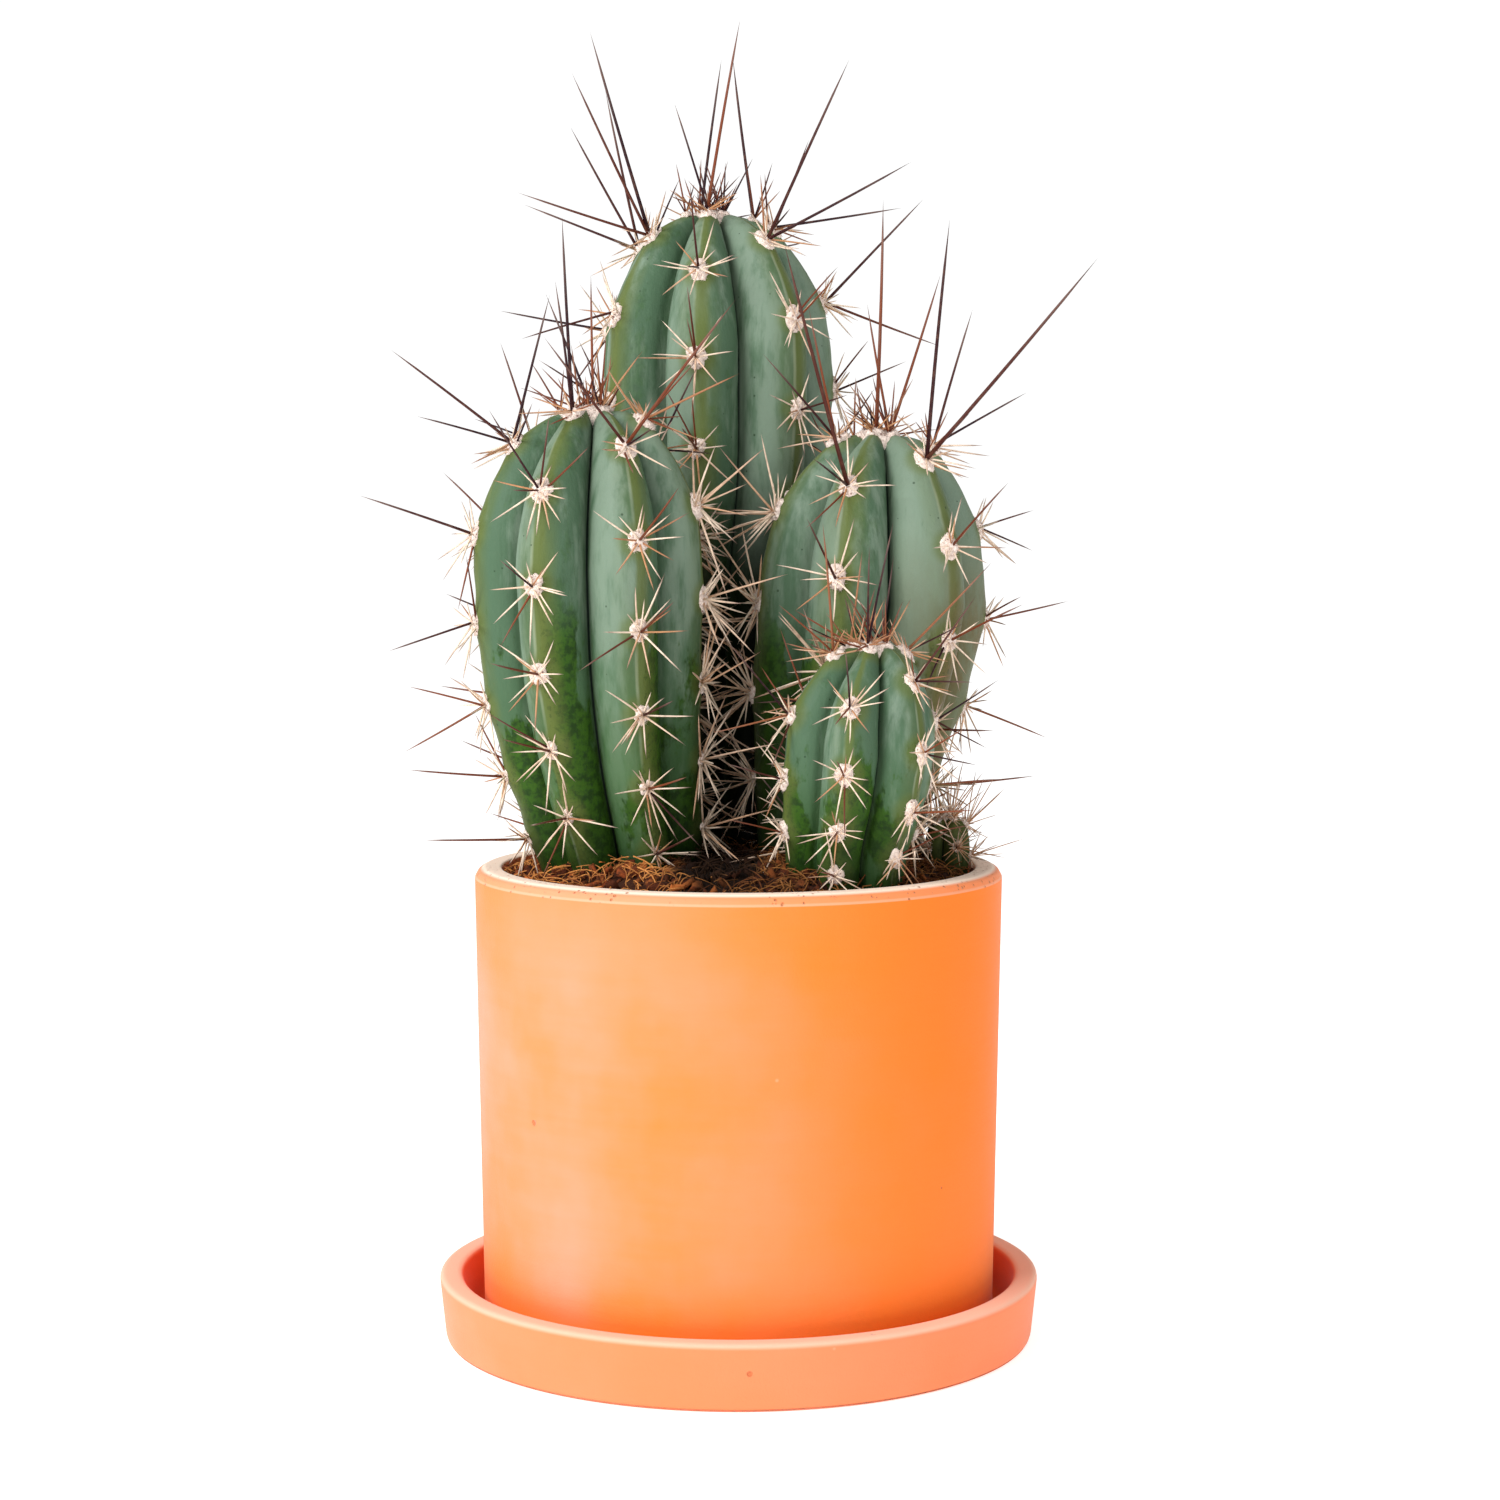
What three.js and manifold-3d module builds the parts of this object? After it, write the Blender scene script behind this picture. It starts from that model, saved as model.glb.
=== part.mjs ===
// Potted toothpick cactus: four ribbed, spiny stems and a young pup in a terracotta pot on its saucer.
// Millimetres and degrees, +Z up. The origin is the middle of the saucer's underside, and the
// plant is seen from -Y. A bearing is an angle round a stem, from the front (-Y) towards +X.

import * as THREE from "three";
import { mergeVertices } from "three/addons/utils/BufferGeometryUtils.js";
import Module from "manifold-3d";

const wasm = await Module();
wasm.setup();

const RAD = Math.PI / 180;

// Room between pieces that touch on the real plant.
const GAP = 0.3;

const SAUCER = {
  footRadius: 76.4,
  wallFootRadius: 78.4,
  lipRadius: 80.1,
  lipInnerRadius: 73.9,
  floorRadius: 70.5,
  height: 17.5,
  floor: 6,
  edge: 2,
};

const POT = {
  baseRadius: 68,
  rimRadius: 70,
  rimInnerRadius: 62.8,
  floorInnerRadius: 61.2,
  rimTop: 125.9,
  rimEdge: 2.7,
  floorThickness: 8,
  drainRadius: 8,
  edge: 1.6,
};

const SOIL = {
  wallTop: 121.5,
  moundTop: 127,
  moundRadius: 44,
  lump: 0.8,
  sides: 36,
};

// Each stem's stations run from its foot to its shoulder: height, axis, and radius at a rib's crest.
// groove is the radius between two ribs as a part of the crest's, and crown the dome's height.
// first is the distance along each rib from the tip to its first areole. From there on the
// areoles are pitch apart, less crowding for each millimetre that they lie from the tip.
// long lists the longest spines, areole by areole, from the steepest down: each reach runs
// from the areole to the spine's tip. The other spines follow a rule.
const STEMS = {
  stem_back: {
    ribs: 7,
    facing: -8,
    groove: 0.67,
    crown: 45.5,
    stations: [
      { z: 109, x: -9, y: 34, r: 18 },
      { z: 120, x: -9, y: 35, r: 22 },
      { z: 150, x: -9, y: 41.5, r: 23.5 },
      { z: 180, x: -8.6, y: 47, r: 24.5 },
      { z: 205, x: -7.6, y: 49, r: 26.5 },
      { z: 230, x: -6.8, y: 49.5, r: 31.6 },
      { z: 258, x: -6.8, y: 49.5, r: 33 },
    ],
    tip: { x: -7.3, y: 49.5 },
    bodyRings: 11,
    first: [9.5, 23.5, 17, 24, 12, 24, 21],
    pitch: 24.6,
    crowding: 0.01,
    size: 1,
    long: [
      { rib: 0, row: 0, reach: [[9, -7, 51], [-9, -4, 29]] },
      { rib: 0, row: 2, reach: [[-2, -16, 18]] },
      { rib: 0, row: 3, reach: [[-1, -13, 14]] },
      { rib: 1, row: 0, reach: [[22, -12, 47], [39, -10, 20]] },
      { rib: 2, row: 0, reach: [[10, 1, 25], [36, 1, 6]] },
      { rib: 2, row: 1, reach: [[28, 1, 29], [33, 1, -12]] },
      { rib: 3, row: 0, reach: [[-7, 14, 57]] },
      { rib: 4, row: 0, reach: [[6, 8, 47]] },
      { rib: 5, row: 0, reach: [[-10, 5, 45], [-20, 5, 35], [-33, 4, 13]] },
      { rib: 5, row: 1, reach: [[-31, 4, 6]] },
      { rib: 6, row: 0, reach: [[-16, -9, 54], [-21, -8, 43], [-36, -6, 11]] },
      { rib: 6, row: 1, reach: [[-25, -5, -7]] },
    ],
  },
  stem_left: {
    ribs: 7,
    facing: -24,
    groove: 0.66,
    crown: 43,
    stations: [
      { z: 109, x: -29, y: -7, r: 16.5 },
      { z: 120, x: -29.8, y: -8, r: 20.5 },
      { z: 131, x: -31.6, y: -9, r: 22.3 },
      { z: 151, x: -35.2, y: -10.5, r: 25.4 },
      { z: 168, x: -37.3, y: -11.5, r: 27.8 },
      { z: 183, x: -38.4, y: -12, r: 29.2 },
      { z: 204, x: -39, y: -12, r: 30.1 },
    ],
    tip: { x: -37.6, y: -12 },
    bodyRings: 8,
    first: [11, 24, 14, 24, 12, 22, 23.5],
    pitch: 27,
    crowding: 0.085,
    size: 1,
    long: [
      { rib: 0, row: 0, reach: [[-2, -9, 49], [-4, -6, 33]] },
      { rib: 0, row: 1, reach: [[3, -8, 19], [-12, -9, 20]] },
      { rib: 1, row: 0, reach: [[-20, -11, 27], [28, -15, 36]] },
      { rib: 2, row: 0, reach: [[13, -1, 15]] },
      { rib: 4, row: 0, reach: [[-1, 8, 38], [-13, 7, 33]] },
      { rib: 6, row: 0, reach: [[10, -3, 38], [-31, -3, 24]] },
      { rib: 6, row: 1, reach: [[-29, -3, 10]] },
      { rib: 6, row: 2, reach: [[-22, -3, -7]] },
      { rib: 6, row: 3, reach: [[-20, -2, 5], [-21, -3, -12]] },
    ],
  },
  stem_right: {
    ribs: 6,
    facing: -20,
    groove: 0.66,
    crown: 46.5,
    stations: [
      { z: 109, x: 26, y: 5, r: 16.5 },
      { z: 120, x: 26.4, y: 5, r: 20.8 },
      { z: 146, x: 28.6, y: 7.5, r: 24.2 },
      { z: 169, x: 32.3, y: 10, r: 28.7 },
      { z: 182, x: 34.3, y: 11.5, r: 30.4 },
      { z: 195, x: 36, y: 12, r: 30.8 },
    ],
    tip: { x: 37.8, y: 12 },
    bodyRings: 7,
    first: [3.5, 20, 14.5, 9, 20, 11.5],
    pitch: 25.6,
    crowding: 0.03,
    size: 1,
    long: [
      { rib: 0, row: 0, reach: [[2, 4, 62], [1, -3, 31]] },
      { rib: 0, row: 1, reach: [[-17, -23, 61]] },
      { rib: 1, row: 0, reach: [[5, -16, 61], [43, -17, 51]] },
      { rib: 2, row: 1, reach: [[15, 1, 5], [15, 1, -6]] },
      { rib: 2, row: 2, reach: [[23, 2, 5]] },
      { rib: 2, row: 3, reach: [[23, 2, -9]] },
      { rib: 3, row: 0, reach: [[-6, 5, 36], [14, 6, 44]] },
    ],
  },
  stem_front: {
    ribs: 6,
    facing: -12,
    groove: 0.67,
    crown: 28.5,
    stations: [
      { z: 109, x: 27.3, y: -32, r: 12.5 },
      { z: 120, x: 27.3, y: -33, r: 15.2 },
      { z: 133, x: 27.7, y: -34, r: 16.2 },
      { z: 146, x: 29.6, y: -35.5, r: 18.7 },
      { z: 158, x: 31, y: -36, r: 19.7 },
    ],
    tip: { x: 34.3, y: -36 },
    bodyRings: 5,
    first: [6, 17.5, 9, 18, 7, 10.5],
    pitch: 20.5,
    crowding: 0.155,
    size: 0.82,
    long: [
      { rib: 0, row: 0, reach: [[6, -5, 31], [0, -6, 25]] },
      { rib: 2, row: 0, reach: [[22, 3, 23]] },
      { rib: 5, row: 0, reach: [[-3, -3, 33]] },
    ],
  },
  pup: {
    ribs: 5,
    facing: 20,
    groove: 0.72,
    crown: 8,
    stations: [
      { z: 114, x: 55, y: 0, r: 4.4 },
      { z: 122, x: 55, y: 0, r: 5.8 },
      { z: 131, x: 55.4, y: 0, r: 6.2 },
    ],
    tip: { x: 55.8, y: 0 },
    bodyRings: 3,
    first: [3, 5.5, 2.5, 5.5, 3.5],
    pitch: 8,
    crowding: 0,
    size: 0.42,
    long: [],
  },
};

const CROWN_STEPS = [18, 36, 52, 66, 78];
const CROWN_DIP = 0.07;
const SAMPLES_PER_RIB = 4;
const TURNED_SIDES = 44;
const FOOT_ROUNDING = 0.6;

// One areole: a felt button with eight radial spines round it and up to two central ones.
const AREOLE = {
  padRadius: 4,
  padSink: 1.8,
  hubRadius: 0.85,
  hubLow: 0.9,
  hubHigh: 1.8,
  radialLength: 12.5,
  radialLift: 24,
  centralLength: 23,
  crownLength: 44,
};
const RADIALS = 8;
const RADIAL_LIFT = { low: 5, high: 44, central: false };
const CENTRAL_LIFT = { low: 46, high: 90, central: true };
const CORNERS = [-45, 45, 135, 225];

// Spines keep this far from any other piece, and this angle from the others of their areole.
const SPINE_CLEAR = 1;
const SPINE_SPREAD = 15;
const TURNS = [0, 15, -15];
const TILTS = [0, -12, 12, 20];
const SHRINKS = [1, 0.75, 0.5, 0.32];

function seededDraw(seed) {
  let state = seed;
  return () => {
    state = (state * 1664525 + 1013904223) % 4294967296;
    return state / 4294967296;
  };
}

// A closed mesh for each piece, and back from a solid to a mesh.

function toSolid(geometry) {
  geometry.deleteAttribute("normal");
  geometry.deleteAttribute("uv");
  const merged = mergeVertices(geometry, 1e-4);
  return new wasm.Manifold(
    new wasm.Mesh({
      numProp: 3,
      vertProperties: new Float32Array(merged.attributes.position.array),
      triVerts: new Uint32Array(merged.index.array),
    })
  );
}

function indexedSolid(points, triangles) {
  const geometry = new THREE.BufferGeometry();
  geometry.setAttribute("position", new THREE.Float32BufferAttribute(points.flatMap((p) => p.toArray()), 3));
  geometry.setIndex(triangles.flat());
  return toSolid(geometry);
}

function toMesh(name, solid, material) {
  const { vertProperties, triVerts, numProp } = solid.getMesh();
  const geometry = new THREE.BufferGeometry();
  const positions = [];
  for (let i = 0; i < vertProperties.length; i += numProp) {
    positions.push(vertProperties[i], vertProperties[i + 1], vertProperties[i + 2]);
  }
  geometry.setAttribute("position", new THREE.Float32BufferAttribute(positions, 3));
  geometry.setIndex([...triVerts]);
  geometry.computeVertexNormals();
  const mesh = new THREE.Mesh(geometry, material);
  mesh.name = name;
  return mesh;
}

// A turned piece: profile holds radius and height, anticlockwise seen with the axis on the left.
function turnedGeometry(profile, sides) {
  const points = profile.map(([radius, height]) => new THREE.Vector2(radius, height));
  const geometry = new THREE.LatheGeometry(points, sides);
  geometry.rotateX(Math.PI / 2);
  return geometry;
}

// Saucer: a shallow dish with a soft lip.

function saucerProfile() {
  const { footRadius, wallFootRadius, lipRadius, lipInnerRadius, floorRadius, height, floor, edge } = SAUCER;
  return [
    [0, 0],
    [footRadius, 0],
    [wallFootRadius - 0.6, edge * 0.3],
    [wallFootRadius, edge],
    [lipRadius, height - edge],
    [lipRadius - 0.6, height - edge * 0.3],
    [lipRadius - edge, height],
    [lipInnerRadius + edge * 0.6, height],
    [lipInnerRadius, height - edge * 0.6],
    [floorRadius + edge, floor + edge],
    [floorRadius, floor],
    [0, floor],
  ];
}

// Pot: a plain cylinder with a slight taper, an eased rim and a drain hole in its floor.

function potProfile() {
  const { baseRadius, rimRadius, rimInnerRadius, floorInnerRadius, rimTop, rimEdge, edge } = POT;
  const bottom = SAUCER.floor;
  const floorTop = bottom + POT.floorThickness;
  return [
    [POT.drainRadius, bottom],
    [baseRadius - edge, bottom],
    [baseRadius, bottom + edge],
    [rimRadius, rimTop - rimEdge],
    [rimRadius - rimEdge * 0.35, rimTop - rimEdge * 0.35],
    [rimRadius - rimEdge, rimTop],
    [rimInnerRadius + edge * 0.6, rimTop],
    [rimInnerRadius, rimTop - edge * 0.6],
    [floorInnerRadius, floorTop + edge],
    [floorInnerRadius - edge, floorTop],
    [POT.drainRadius, floorTop],
    [POT.drainRadius, bottom],
  ];
}

// Soil: fills the pot to just below its rim and is heaped in loose lumps round the stems.

function soilHeight(x, y) {
  const { wallTop, moundTop, moundRadius, lump } = SOIL;
  const outward = (Math.hypot(x, y) - moundRadius) / (POT.rimInnerRadius - moundRadius);
  const fall = THREE.MathUtils.smoothstep(outward, 0, 1);
  const waves = Math.sin(0.31 * x + 1.3) * Math.cos(0.27 * y) + 0.7 * Math.sin(0.62 * x - 0.45 * y);
  return moundTop + (wallTop - moundTop) * fall + lump * waves * (1 - fall * 0.5);
}

function soilSolid() {
  const bottom = SAUCER.floor + POT.floorThickness;
  const wallRadius = POT.rimInnerRadius - GAP - 0.1;
  const floorRadius = POT.floorInnerRadius - GAP;
  const rings = [wallRadius, 56, 48, 38, 26, 12, 0];
  const profile = [
    [0, bottom],
    [floorRadius - POT.edge, bottom],
    [floorRadius, bottom + POT.edge + GAP],
    ...rings.map((radius) => [radius, SOIL.wallTop]),
  ];
  const geometry = turnedGeometry(profile, SOIL.sides);
  const position = geometry.attributes.position;
  for (let i = 0; i < position.count; i += 1) {
    if (position.getZ(i) > SOIL.wallTop - 1) {
      position.setZ(i, soilHeight(position.getX(i), position.getY(i)));
    }
  }
  return toSolid(geometry);
}

// Stems: a ribbed column on a leaning axis, closed by a dome with a sunken tip.

// The axis and crest radius at a height, on one smooth curve through the stem's stations.
function stationAt(stem, z) {
  const { stations } = stem;
  const last = stations.length - 1;
  const i = Math.min(Math.max(stations.findIndex((s) => s.z > z) - 1, 0), last - 1);
  const index = z >= stations[last].z ? last - 1 : i;
  const [a, b] = [stations[index], stations[index + 1]];
  const before = stations[Math.max(index - 1, 0)];
  const after = stations[Math.min(index + 2, last)];
  const t = THREE.MathUtils.clamp((z - a.z) / (b.z - a.z), 0, 1);
  const curve = (key) => {
    const slopeA = ((b[key] - before[key]) / (b.z - before.z)) * (b.z - a.z);
    const slopeB = ((after[key] - a[key]) / (after.z - a.z)) * (b.z - a.z);
    const rise = b[key] - a[key];
    return a[key] + t * (slopeA + t * (3 * rise - 2 * slopeA - slopeB + t * (slopeA + slopeB - 2 * rise)));
  };
  return { x: curve("x"), y: curve("y"), r: curve("r") };
}

const footOf = (stem) => stem.stations[0].z;
const shoulderOf = (stem) => stem.stations[stem.stations.length - 1];

// 1 on a rib's crest and 0 in a groove: round ribs with a sharp crease between them.
function ribShare(stem, bearing) {
  return Math.abs(Math.cos((stem.ribs * (bearing - stem.facing) * RAD) / 2)) ** 0.8;
}

// A point of the column's side at a height, grown outwards by extra.
function sidePoint(stem, z, bearing, extra) {
  const { x, y, r } = stationAt(stem, z);
  const radius = r * (stem.groove + (1 - stem.groove) * ribShare(stem, bearing)) + extra;
  return new THREE.Vector3(x + radius * Math.sin(bearing * RAD), y - radius * Math.cos(bearing * RAD), z);
}

// A point of the crown: climb is 0 at the shoulder and 90 at the tip.
function crownPoint(stem, climb, bearing, extra) {
  const { x, y, z, r } = shoulderOf(stem);
  const share = ribShare(stem, bearing);
  const lean = Math.sin(climb * RAD);
  const reach = Math.cos(climb * RAD);
  const radius = (r * (stem.groove + (1 - stem.groove) * share) + extra) * reach;
  const crest = lean - CROWN_DIP * (1 - reach) ** 6;
  const valley = lean * (1 - CROWN_DIP);
  const height = (stem.crown + extra) * (valley + (crest - valley) * share);
  return new THREE.Vector3(
    x + (stem.tip.x - x) * lean * lean + radius * Math.sin(bearing * RAD),
    y + (stem.tip.y - y) * lean * lean - radius * Math.cos(bearing * RAD),
    z + height
  );
}

function stemBody(stem, extra) {
  const columns = stem.ribs * SAMPLES_PER_RIB;
  const bearings = Array.from({ length: columns }, (_, j) => stem.facing + (j * 360) / columns);
  const foot = footOf(stem);
  const rise = shoulderOf(stem).z - foot;
  const rings = [];
  for (let i = 0; i <= stem.bodyRings; i += 1) {
    const z = foot + (rise * i) / stem.bodyRings;
    rings.push(bearings.map((bearing) => sidePoint(stem, z, bearing, extra)));
  }
  for (const climb of CROWN_STEPS) {
    rings.push(bearings.map((bearing) => crownPoint(stem, climb, bearing, extra)));
  }
  const middle = stationAt(stem, foot);
  const sole = new THREE.Vector3(middle.x, middle.y, foot - FOOT_ROUNDING * middle.r * 0.5 - extra);
  const points = [...rings.flat(), sole, crownPoint(stem, 90, stem.facing, extra)];
  const soleIndex = points.length - 2;
  const tipIndex = points.length - 1;
  const top = (rings.length - 1) * columns;
  const triangles = [];
  for (let j = 0; j < columns; j += 1) {
    const next = (j + 1) % columns;
    triangles.push([soleIndex, next, j]);
    triangles.push([tipIndex, top + j, top + next]);
    for (let i = 0; i < rings.length - 1; i += 1) {
      const low = i * columns;
      const high = low + columns;
      triangles.push([low + j, low + next, high + next]);
      triangles.push([low + j, high + next, high + j]);
    }
  }
  return indexedSolid(points, triangles);
}

// The outer outline of a stem at a height, for keeping the neighbours' spines clear of it.
function stemRadiusToward(stem, z, bearing) {
  const shoulder = shoulderOf(stem);
  if (z < footOf(stem) || z > shoulder.z + stem.crown) {
    return 0;
  }
  const section = stem.groove + (1 - stem.groove) * ribShare(stem, bearing);
  if (z <= shoulder.z) {
    return stationAt(stem, z).r * section;
  }
  const climb = (z - shoulder.z) / stem.crown;
  return shoulder.r * section * Math.sqrt(1 - climb * climb);
}

function axisAt(stem, z) {
  const shoulder = shoulderOf(stem);
  if (z <= shoulder.z) {
    return stationAt(stem, z);
  }
  const climb = Math.min((z - shoulder.z) / stem.crown, 1);
  return {
    x: shoulder.x + (stem.tip.x - shoulder.x) * climb * climb,
    y: shoulder.y + (stem.tip.y - shoulder.y) * climb * climb,
  };
}

function insideStem(stem, point, margin) {
  const axis = axisAt(stem, point.z);
  const dx = point.x - axis.x;
  const dy = point.y - axis.y;
  const radius = stemRadiusToward(stem, point.z, Math.atan2(dx, -dy) / RAD);
  return radius > 0 && Math.hypot(dx, dy) < radius + margin;
}

function insidePotOrSoil(point, margin) {
  const outward = Math.hypot(point.x, point.y);
  if (outward < POT.rimInnerRadius) {
    return point.z < soilHeight(point.x, point.y) + 1.2 + margin;
  }
  return outward < POT.rimRadius + margin && point.z < POT.rimTop + margin;
}

// Areoles: their places along the ribs, and the frame that each one stands in.

function crestPoint(stem, down, bearing) {
  return down.z === undefined
    ? crownPoint(stem, down.climb, bearing, 0)
    : sidePoint(stem, down.z, bearing, 0);
}

// Every half degree or half millimetre of a rib's crest, from the tip down to the soil.
function crestSteps(stem, bearing) {
  const steps = [];
  for (let climb = 89.5; climb > 0; climb -= 0.5) {
    steps.push({ climb });
  }
  for (let z = shoulderOf(stem).z; z > SOIL.moundTop - 4; z -= 0.5) {
    steps.push({ z });
  }
  return steps.map((step) => crestPoint(stem, step, bearing));
}

function ribAreoles(stem, rib) {
  const bearing = stem.facing + (rib * 360) / stem.ribs;
  const side = new THREE.Vector3(Math.cos(bearing * RAD), Math.sin(bearing * RAD), 0);
  const crest = crestSteps(stem, bearing);
  const areoles = [];
  let walked = 0;
  let next = stem.first[rib];
  for (let i = 1; i < crest.length - 1; i += 1) {
    walked += crest[i].distanceTo(crest[i - 1]);
    const clearOfSoil = crest[i].z > soilHeight(crest[i].x, crest[i].y) + 2.5 * stem.size;
    if (walked >= next && clearOfSoil) {
      const up = new THREE.Vector3().subVectors(crest[i - 1], crest[i + 1]).normalize();
      const out = new THREE.Vector3().crossVectors(side, up).normalize();
      areoles.push({ rib, row: areoles.length, at: crest[i], side, up, out, down: walked });
      next = walked + stem.pitch - stem.crowding * walked;
    }
  }
  return areoles;
}

// Spines: straight spikes from the button's hub. Each takes the first of a few
// directions and lengths in which it runs clear of every other piece.

function segmentsNear(a, b, c, d, distance) {
  const u = new THREE.Vector3().subVectors(b, a);
  const v = new THREE.Vector3().subVectors(d, c);
  const w = new THREE.Vector3().subVectors(a, c);
  const uu = u.dot(u);
  const uv = u.dot(v);
  const vv = v.dot(v);
  const uw = u.dot(w);
  const vw = v.dot(w);
  const det = uu * vv - uv * uv;
  let s = det > 1e-9 ? THREE.MathUtils.clamp((uv * vw - vv * uw) / det, 0, 1) : 0;
  const t = THREE.MathUtils.clamp((uv * s + vw) / vv, 0, 1);
  s = THREE.MathUtils.clamp((uv * t - uw) / uu, 0, 1);
  const p = a.clone().addScaledVector(u, s);
  const q = c.clone().addScaledVector(v, t);
  return p.distanceTo(q) < distance;
}

function spineIsClear(root, tip, owner, others, placed) {
  const length = root.distanceTo(tip);
  const count = Math.max(2, Math.ceil(length / 1.5));
  for (let i = 1; i <= count; i += 1) {
    const point = root.clone().lerp(tip, i / count);
    if (insidePotOrSoil(point, SPINE_CLEAR * 0.5)) {
      return false;
    }
    if (others.some((stem) => insideStem(stem, point, SPINE_CLEAR))) {
      return false;
    }
  }
  return !placed.some((s) => s.owner !== owner && segmentsNear(root, tip, s.root, s.tip, SPINE_CLEAR + 0.4));
}

// The direction at an angle round the areole (0 across, 90 up the rib), lifted off the skin.
function spineDirection(areole, round, lift) {
  return new THREE.Vector3()
    .addScaledVector(areole.side, Math.cos(round * RAD) * Math.cos(lift * RAD))
    .addScaledVector(areole.up, Math.sin(round * RAD) * Math.cos(lift * RAD))
    .addScaledVector(areole.out, Math.sin(lift * RAD));
}

// Where a direction points on its areole: the angle round it, and the lift off the skin.
function bearingOn(areole, direction) {
  const across = direction.dot(areole.side);
  const upward = direction.dot(areole.up);
  const round = Math.atan2(upward, across) / RAD;
  return { round, lift: Math.asin(THREE.MathUtils.clamp(direction.dot(areole.out), -1, 1)) / RAD };
}

const turnBetween = (a, b) => Math.abs(THREE.MathUtils.euclideanModulo(a - b + 180, 360) - 180);

// The tip of a spine that starts out as asked, and turns or shortens until it runs clear.
function fittedTip(areole, root, spine, allowed, taken, isClear) {
  for (const shrink of SHRINKS) {
    for (const turn of TURNS) {
      for (const tilt of TILTS) {
        const round = spine.round + turn;
        const lift = spine.lift + tilt;
        const direction = spineDirection(areole, round, lift);
        const tip = root.clone().addScaledVector(direction, spine.length * shrink);
        const inReach = lift >= allowed.low && lift <= allowed.high;
        const apart = taken.every(
          (other) =>
            other.direction.angleTo(direction) > SPINE_SPREAD * RAD &&
            (other.central || allowed.central || turnBetween(other.round, round) > SPINE_SPREAD)
        );
        if (inReach && apart && isClear(root, tip)) {
          return tip;
        }
      }
    }
  }
  return null;
}

const hubOf = (stem, areole) => areole.at.clone().addScaledVector(areole.out, AREOLE.hubLow * stem.size);

// The tips of an areole's long spines that are given by their reach.
function givenTips(stem, areole) {
  const given = stem.long.find(({ rib, row }) => rib === areole.rib && row === areole.row);
  const reaches = given ? given.reach : [];
  return reaches.map((reach) => hubOf(stem, areole).add(new THREE.Vector3(...reach)));
}

// The tips of one areole's spines: eight radials, the lower ones longest, then two centrals.
// A given spine that lies low takes the place of the radial nearest to it.
function areoleTips(stem, areole, draw, isClear, keep) {
  const root = hubOf(stem, areole);
  const tips = Array(RADIALS + 2).fill(null);
  const taken = [];
  const settle = (slot, tip) => {
    const direction = new THREE.Vector3().subVectors(tip, root).normalize();
    tips[slot] = tip;
    taken.push({ direction, central: slot >= RADIALS, ...bearingOn(areole, direction) });
  };
  for (const tip of givenTips(stem, areole)) {
    const { round, lift } = bearingOn(areole, new THREE.Vector3().subVectors(tip, root).normalize());
    const central = tips[RADIALS] ? RADIALS + 1 : RADIALS;
    const nearest = THREE.MathUtils.euclideanModulo(Math.round((round * RADIALS) / 360), RADIALS);
    settle(lift > CENTRAL_LIFT.low && !tips[central] ? central : nearest, tip);
  }
  const grow = (slot, spine, allowed) => {
    const tip = tips[slot] ? null : fittedTip(areole, root, spine, allowed, taken, isClear);
    if (tip) {
      keep(root, tip);
      settle(slot, tip);
    }
  };
  for (let k = 0; k < RADIALS; k += 1) {
    const round = (k * 360) / RADIALS;
    const lower = 0.5 - 0.5 * Math.sin(round * RAD);
    const length = AREOLE.radialLength * stem.size * (0.62 + 0.48 * lower) * (0.8 + 0.45 * draw());
    const turn = 14 * (draw() - 0.5);
    const lift = AREOLE.radialLift + 20 * (draw() - 0.5);
    grow(k, { round: round + turn, lift, length }, RADIAL_LIFT);
  }
  const crownShare = THREE.MathUtils.clamp(1 - areole.down / (stem.pitch * 1.7), 0, 1);
  const grown = AREOLE.centralLength + (AREOLE.crownLength - AREOLE.centralLength) * crownShare;
  const long = grown * stem.size * (0.75 + 0.5 * draw());
  const short = long * (0.55 + 0.3 * draw());
  const steep = 68 + 20 * (draw() - 0.5);
  grow(RADIALS, { round: 90, lift: steep, length: long }, CENTRAL_LIFT);
  if (crownShare > 0) {
    grow(RADIALS + 1, { round: 270, lift: steep, length: short }, CENTRAL_LIFT);
  }
  return tips;
}

// The button and its spikes as one closed body: a sunken ring, then a hub of two rings whose
// faces are each drawn out to a spine's tip.
function areoleSolid(stem, areole, tips) {
  const { padRadius, padSink, hubRadius, hubLow, hubHigh } = AREOLE;
  const place = (radius, angle, height) =>
    areole.at
      .clone()
      .addScaledVector(areole.side, radius * stem.size * Math.cos(angle * RAD))
      .addScaledVector(areole.up, radius * stem.size * Math.sin(angle * RAD))
      .addScaledVector(areole.out, height * stem.size);
  const pad = CORNERS.map((angle) => place(padRadius, angle, -padSink));
  const low = CORNERS.map((angle) => place(hubRadius, angle, hubLow));
  const high = CORNERS.map((angle) => place(hubRadius * 0.8, angle + 45, hubHigh));
  const points = [...pad, ...low, ...high];
  const [P, L, U] = [0, 4, 8];
  const triangles = [
    [P, P + 2, P + 1],
    [P, P + 3, P + 2],
  ];
  const drawOut = (triangle, tip) => {
    if (!tip) {
      triangles.push(triangle);
      return;
    }
    const apex = points.push(tip) - 1;
    const [a, b, c] = triangle;
    triangles.push([a, b, apex], [b, c, apex], [c, a, apex]);
  };
  for (let k = 0; k < 4; k += 1) {
    const next = (k + 1) % 4;
    triangles.push([P + k, P + next, L + next], [P + k, L + next, L + k]);
    drawOut([L + k, L + next, U + k], tips[2 * k]);
    drawOut([U + k, L + next, U + next], tips[2 * k + 1]);
  }
  drawOut([U, U + 1, U + 2], tips[RADIALS]);
  drawOut([U, U + 2, U + 3], tips[RADIALS + 1]);
  return indexedSolid(points, triangles);
}

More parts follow.
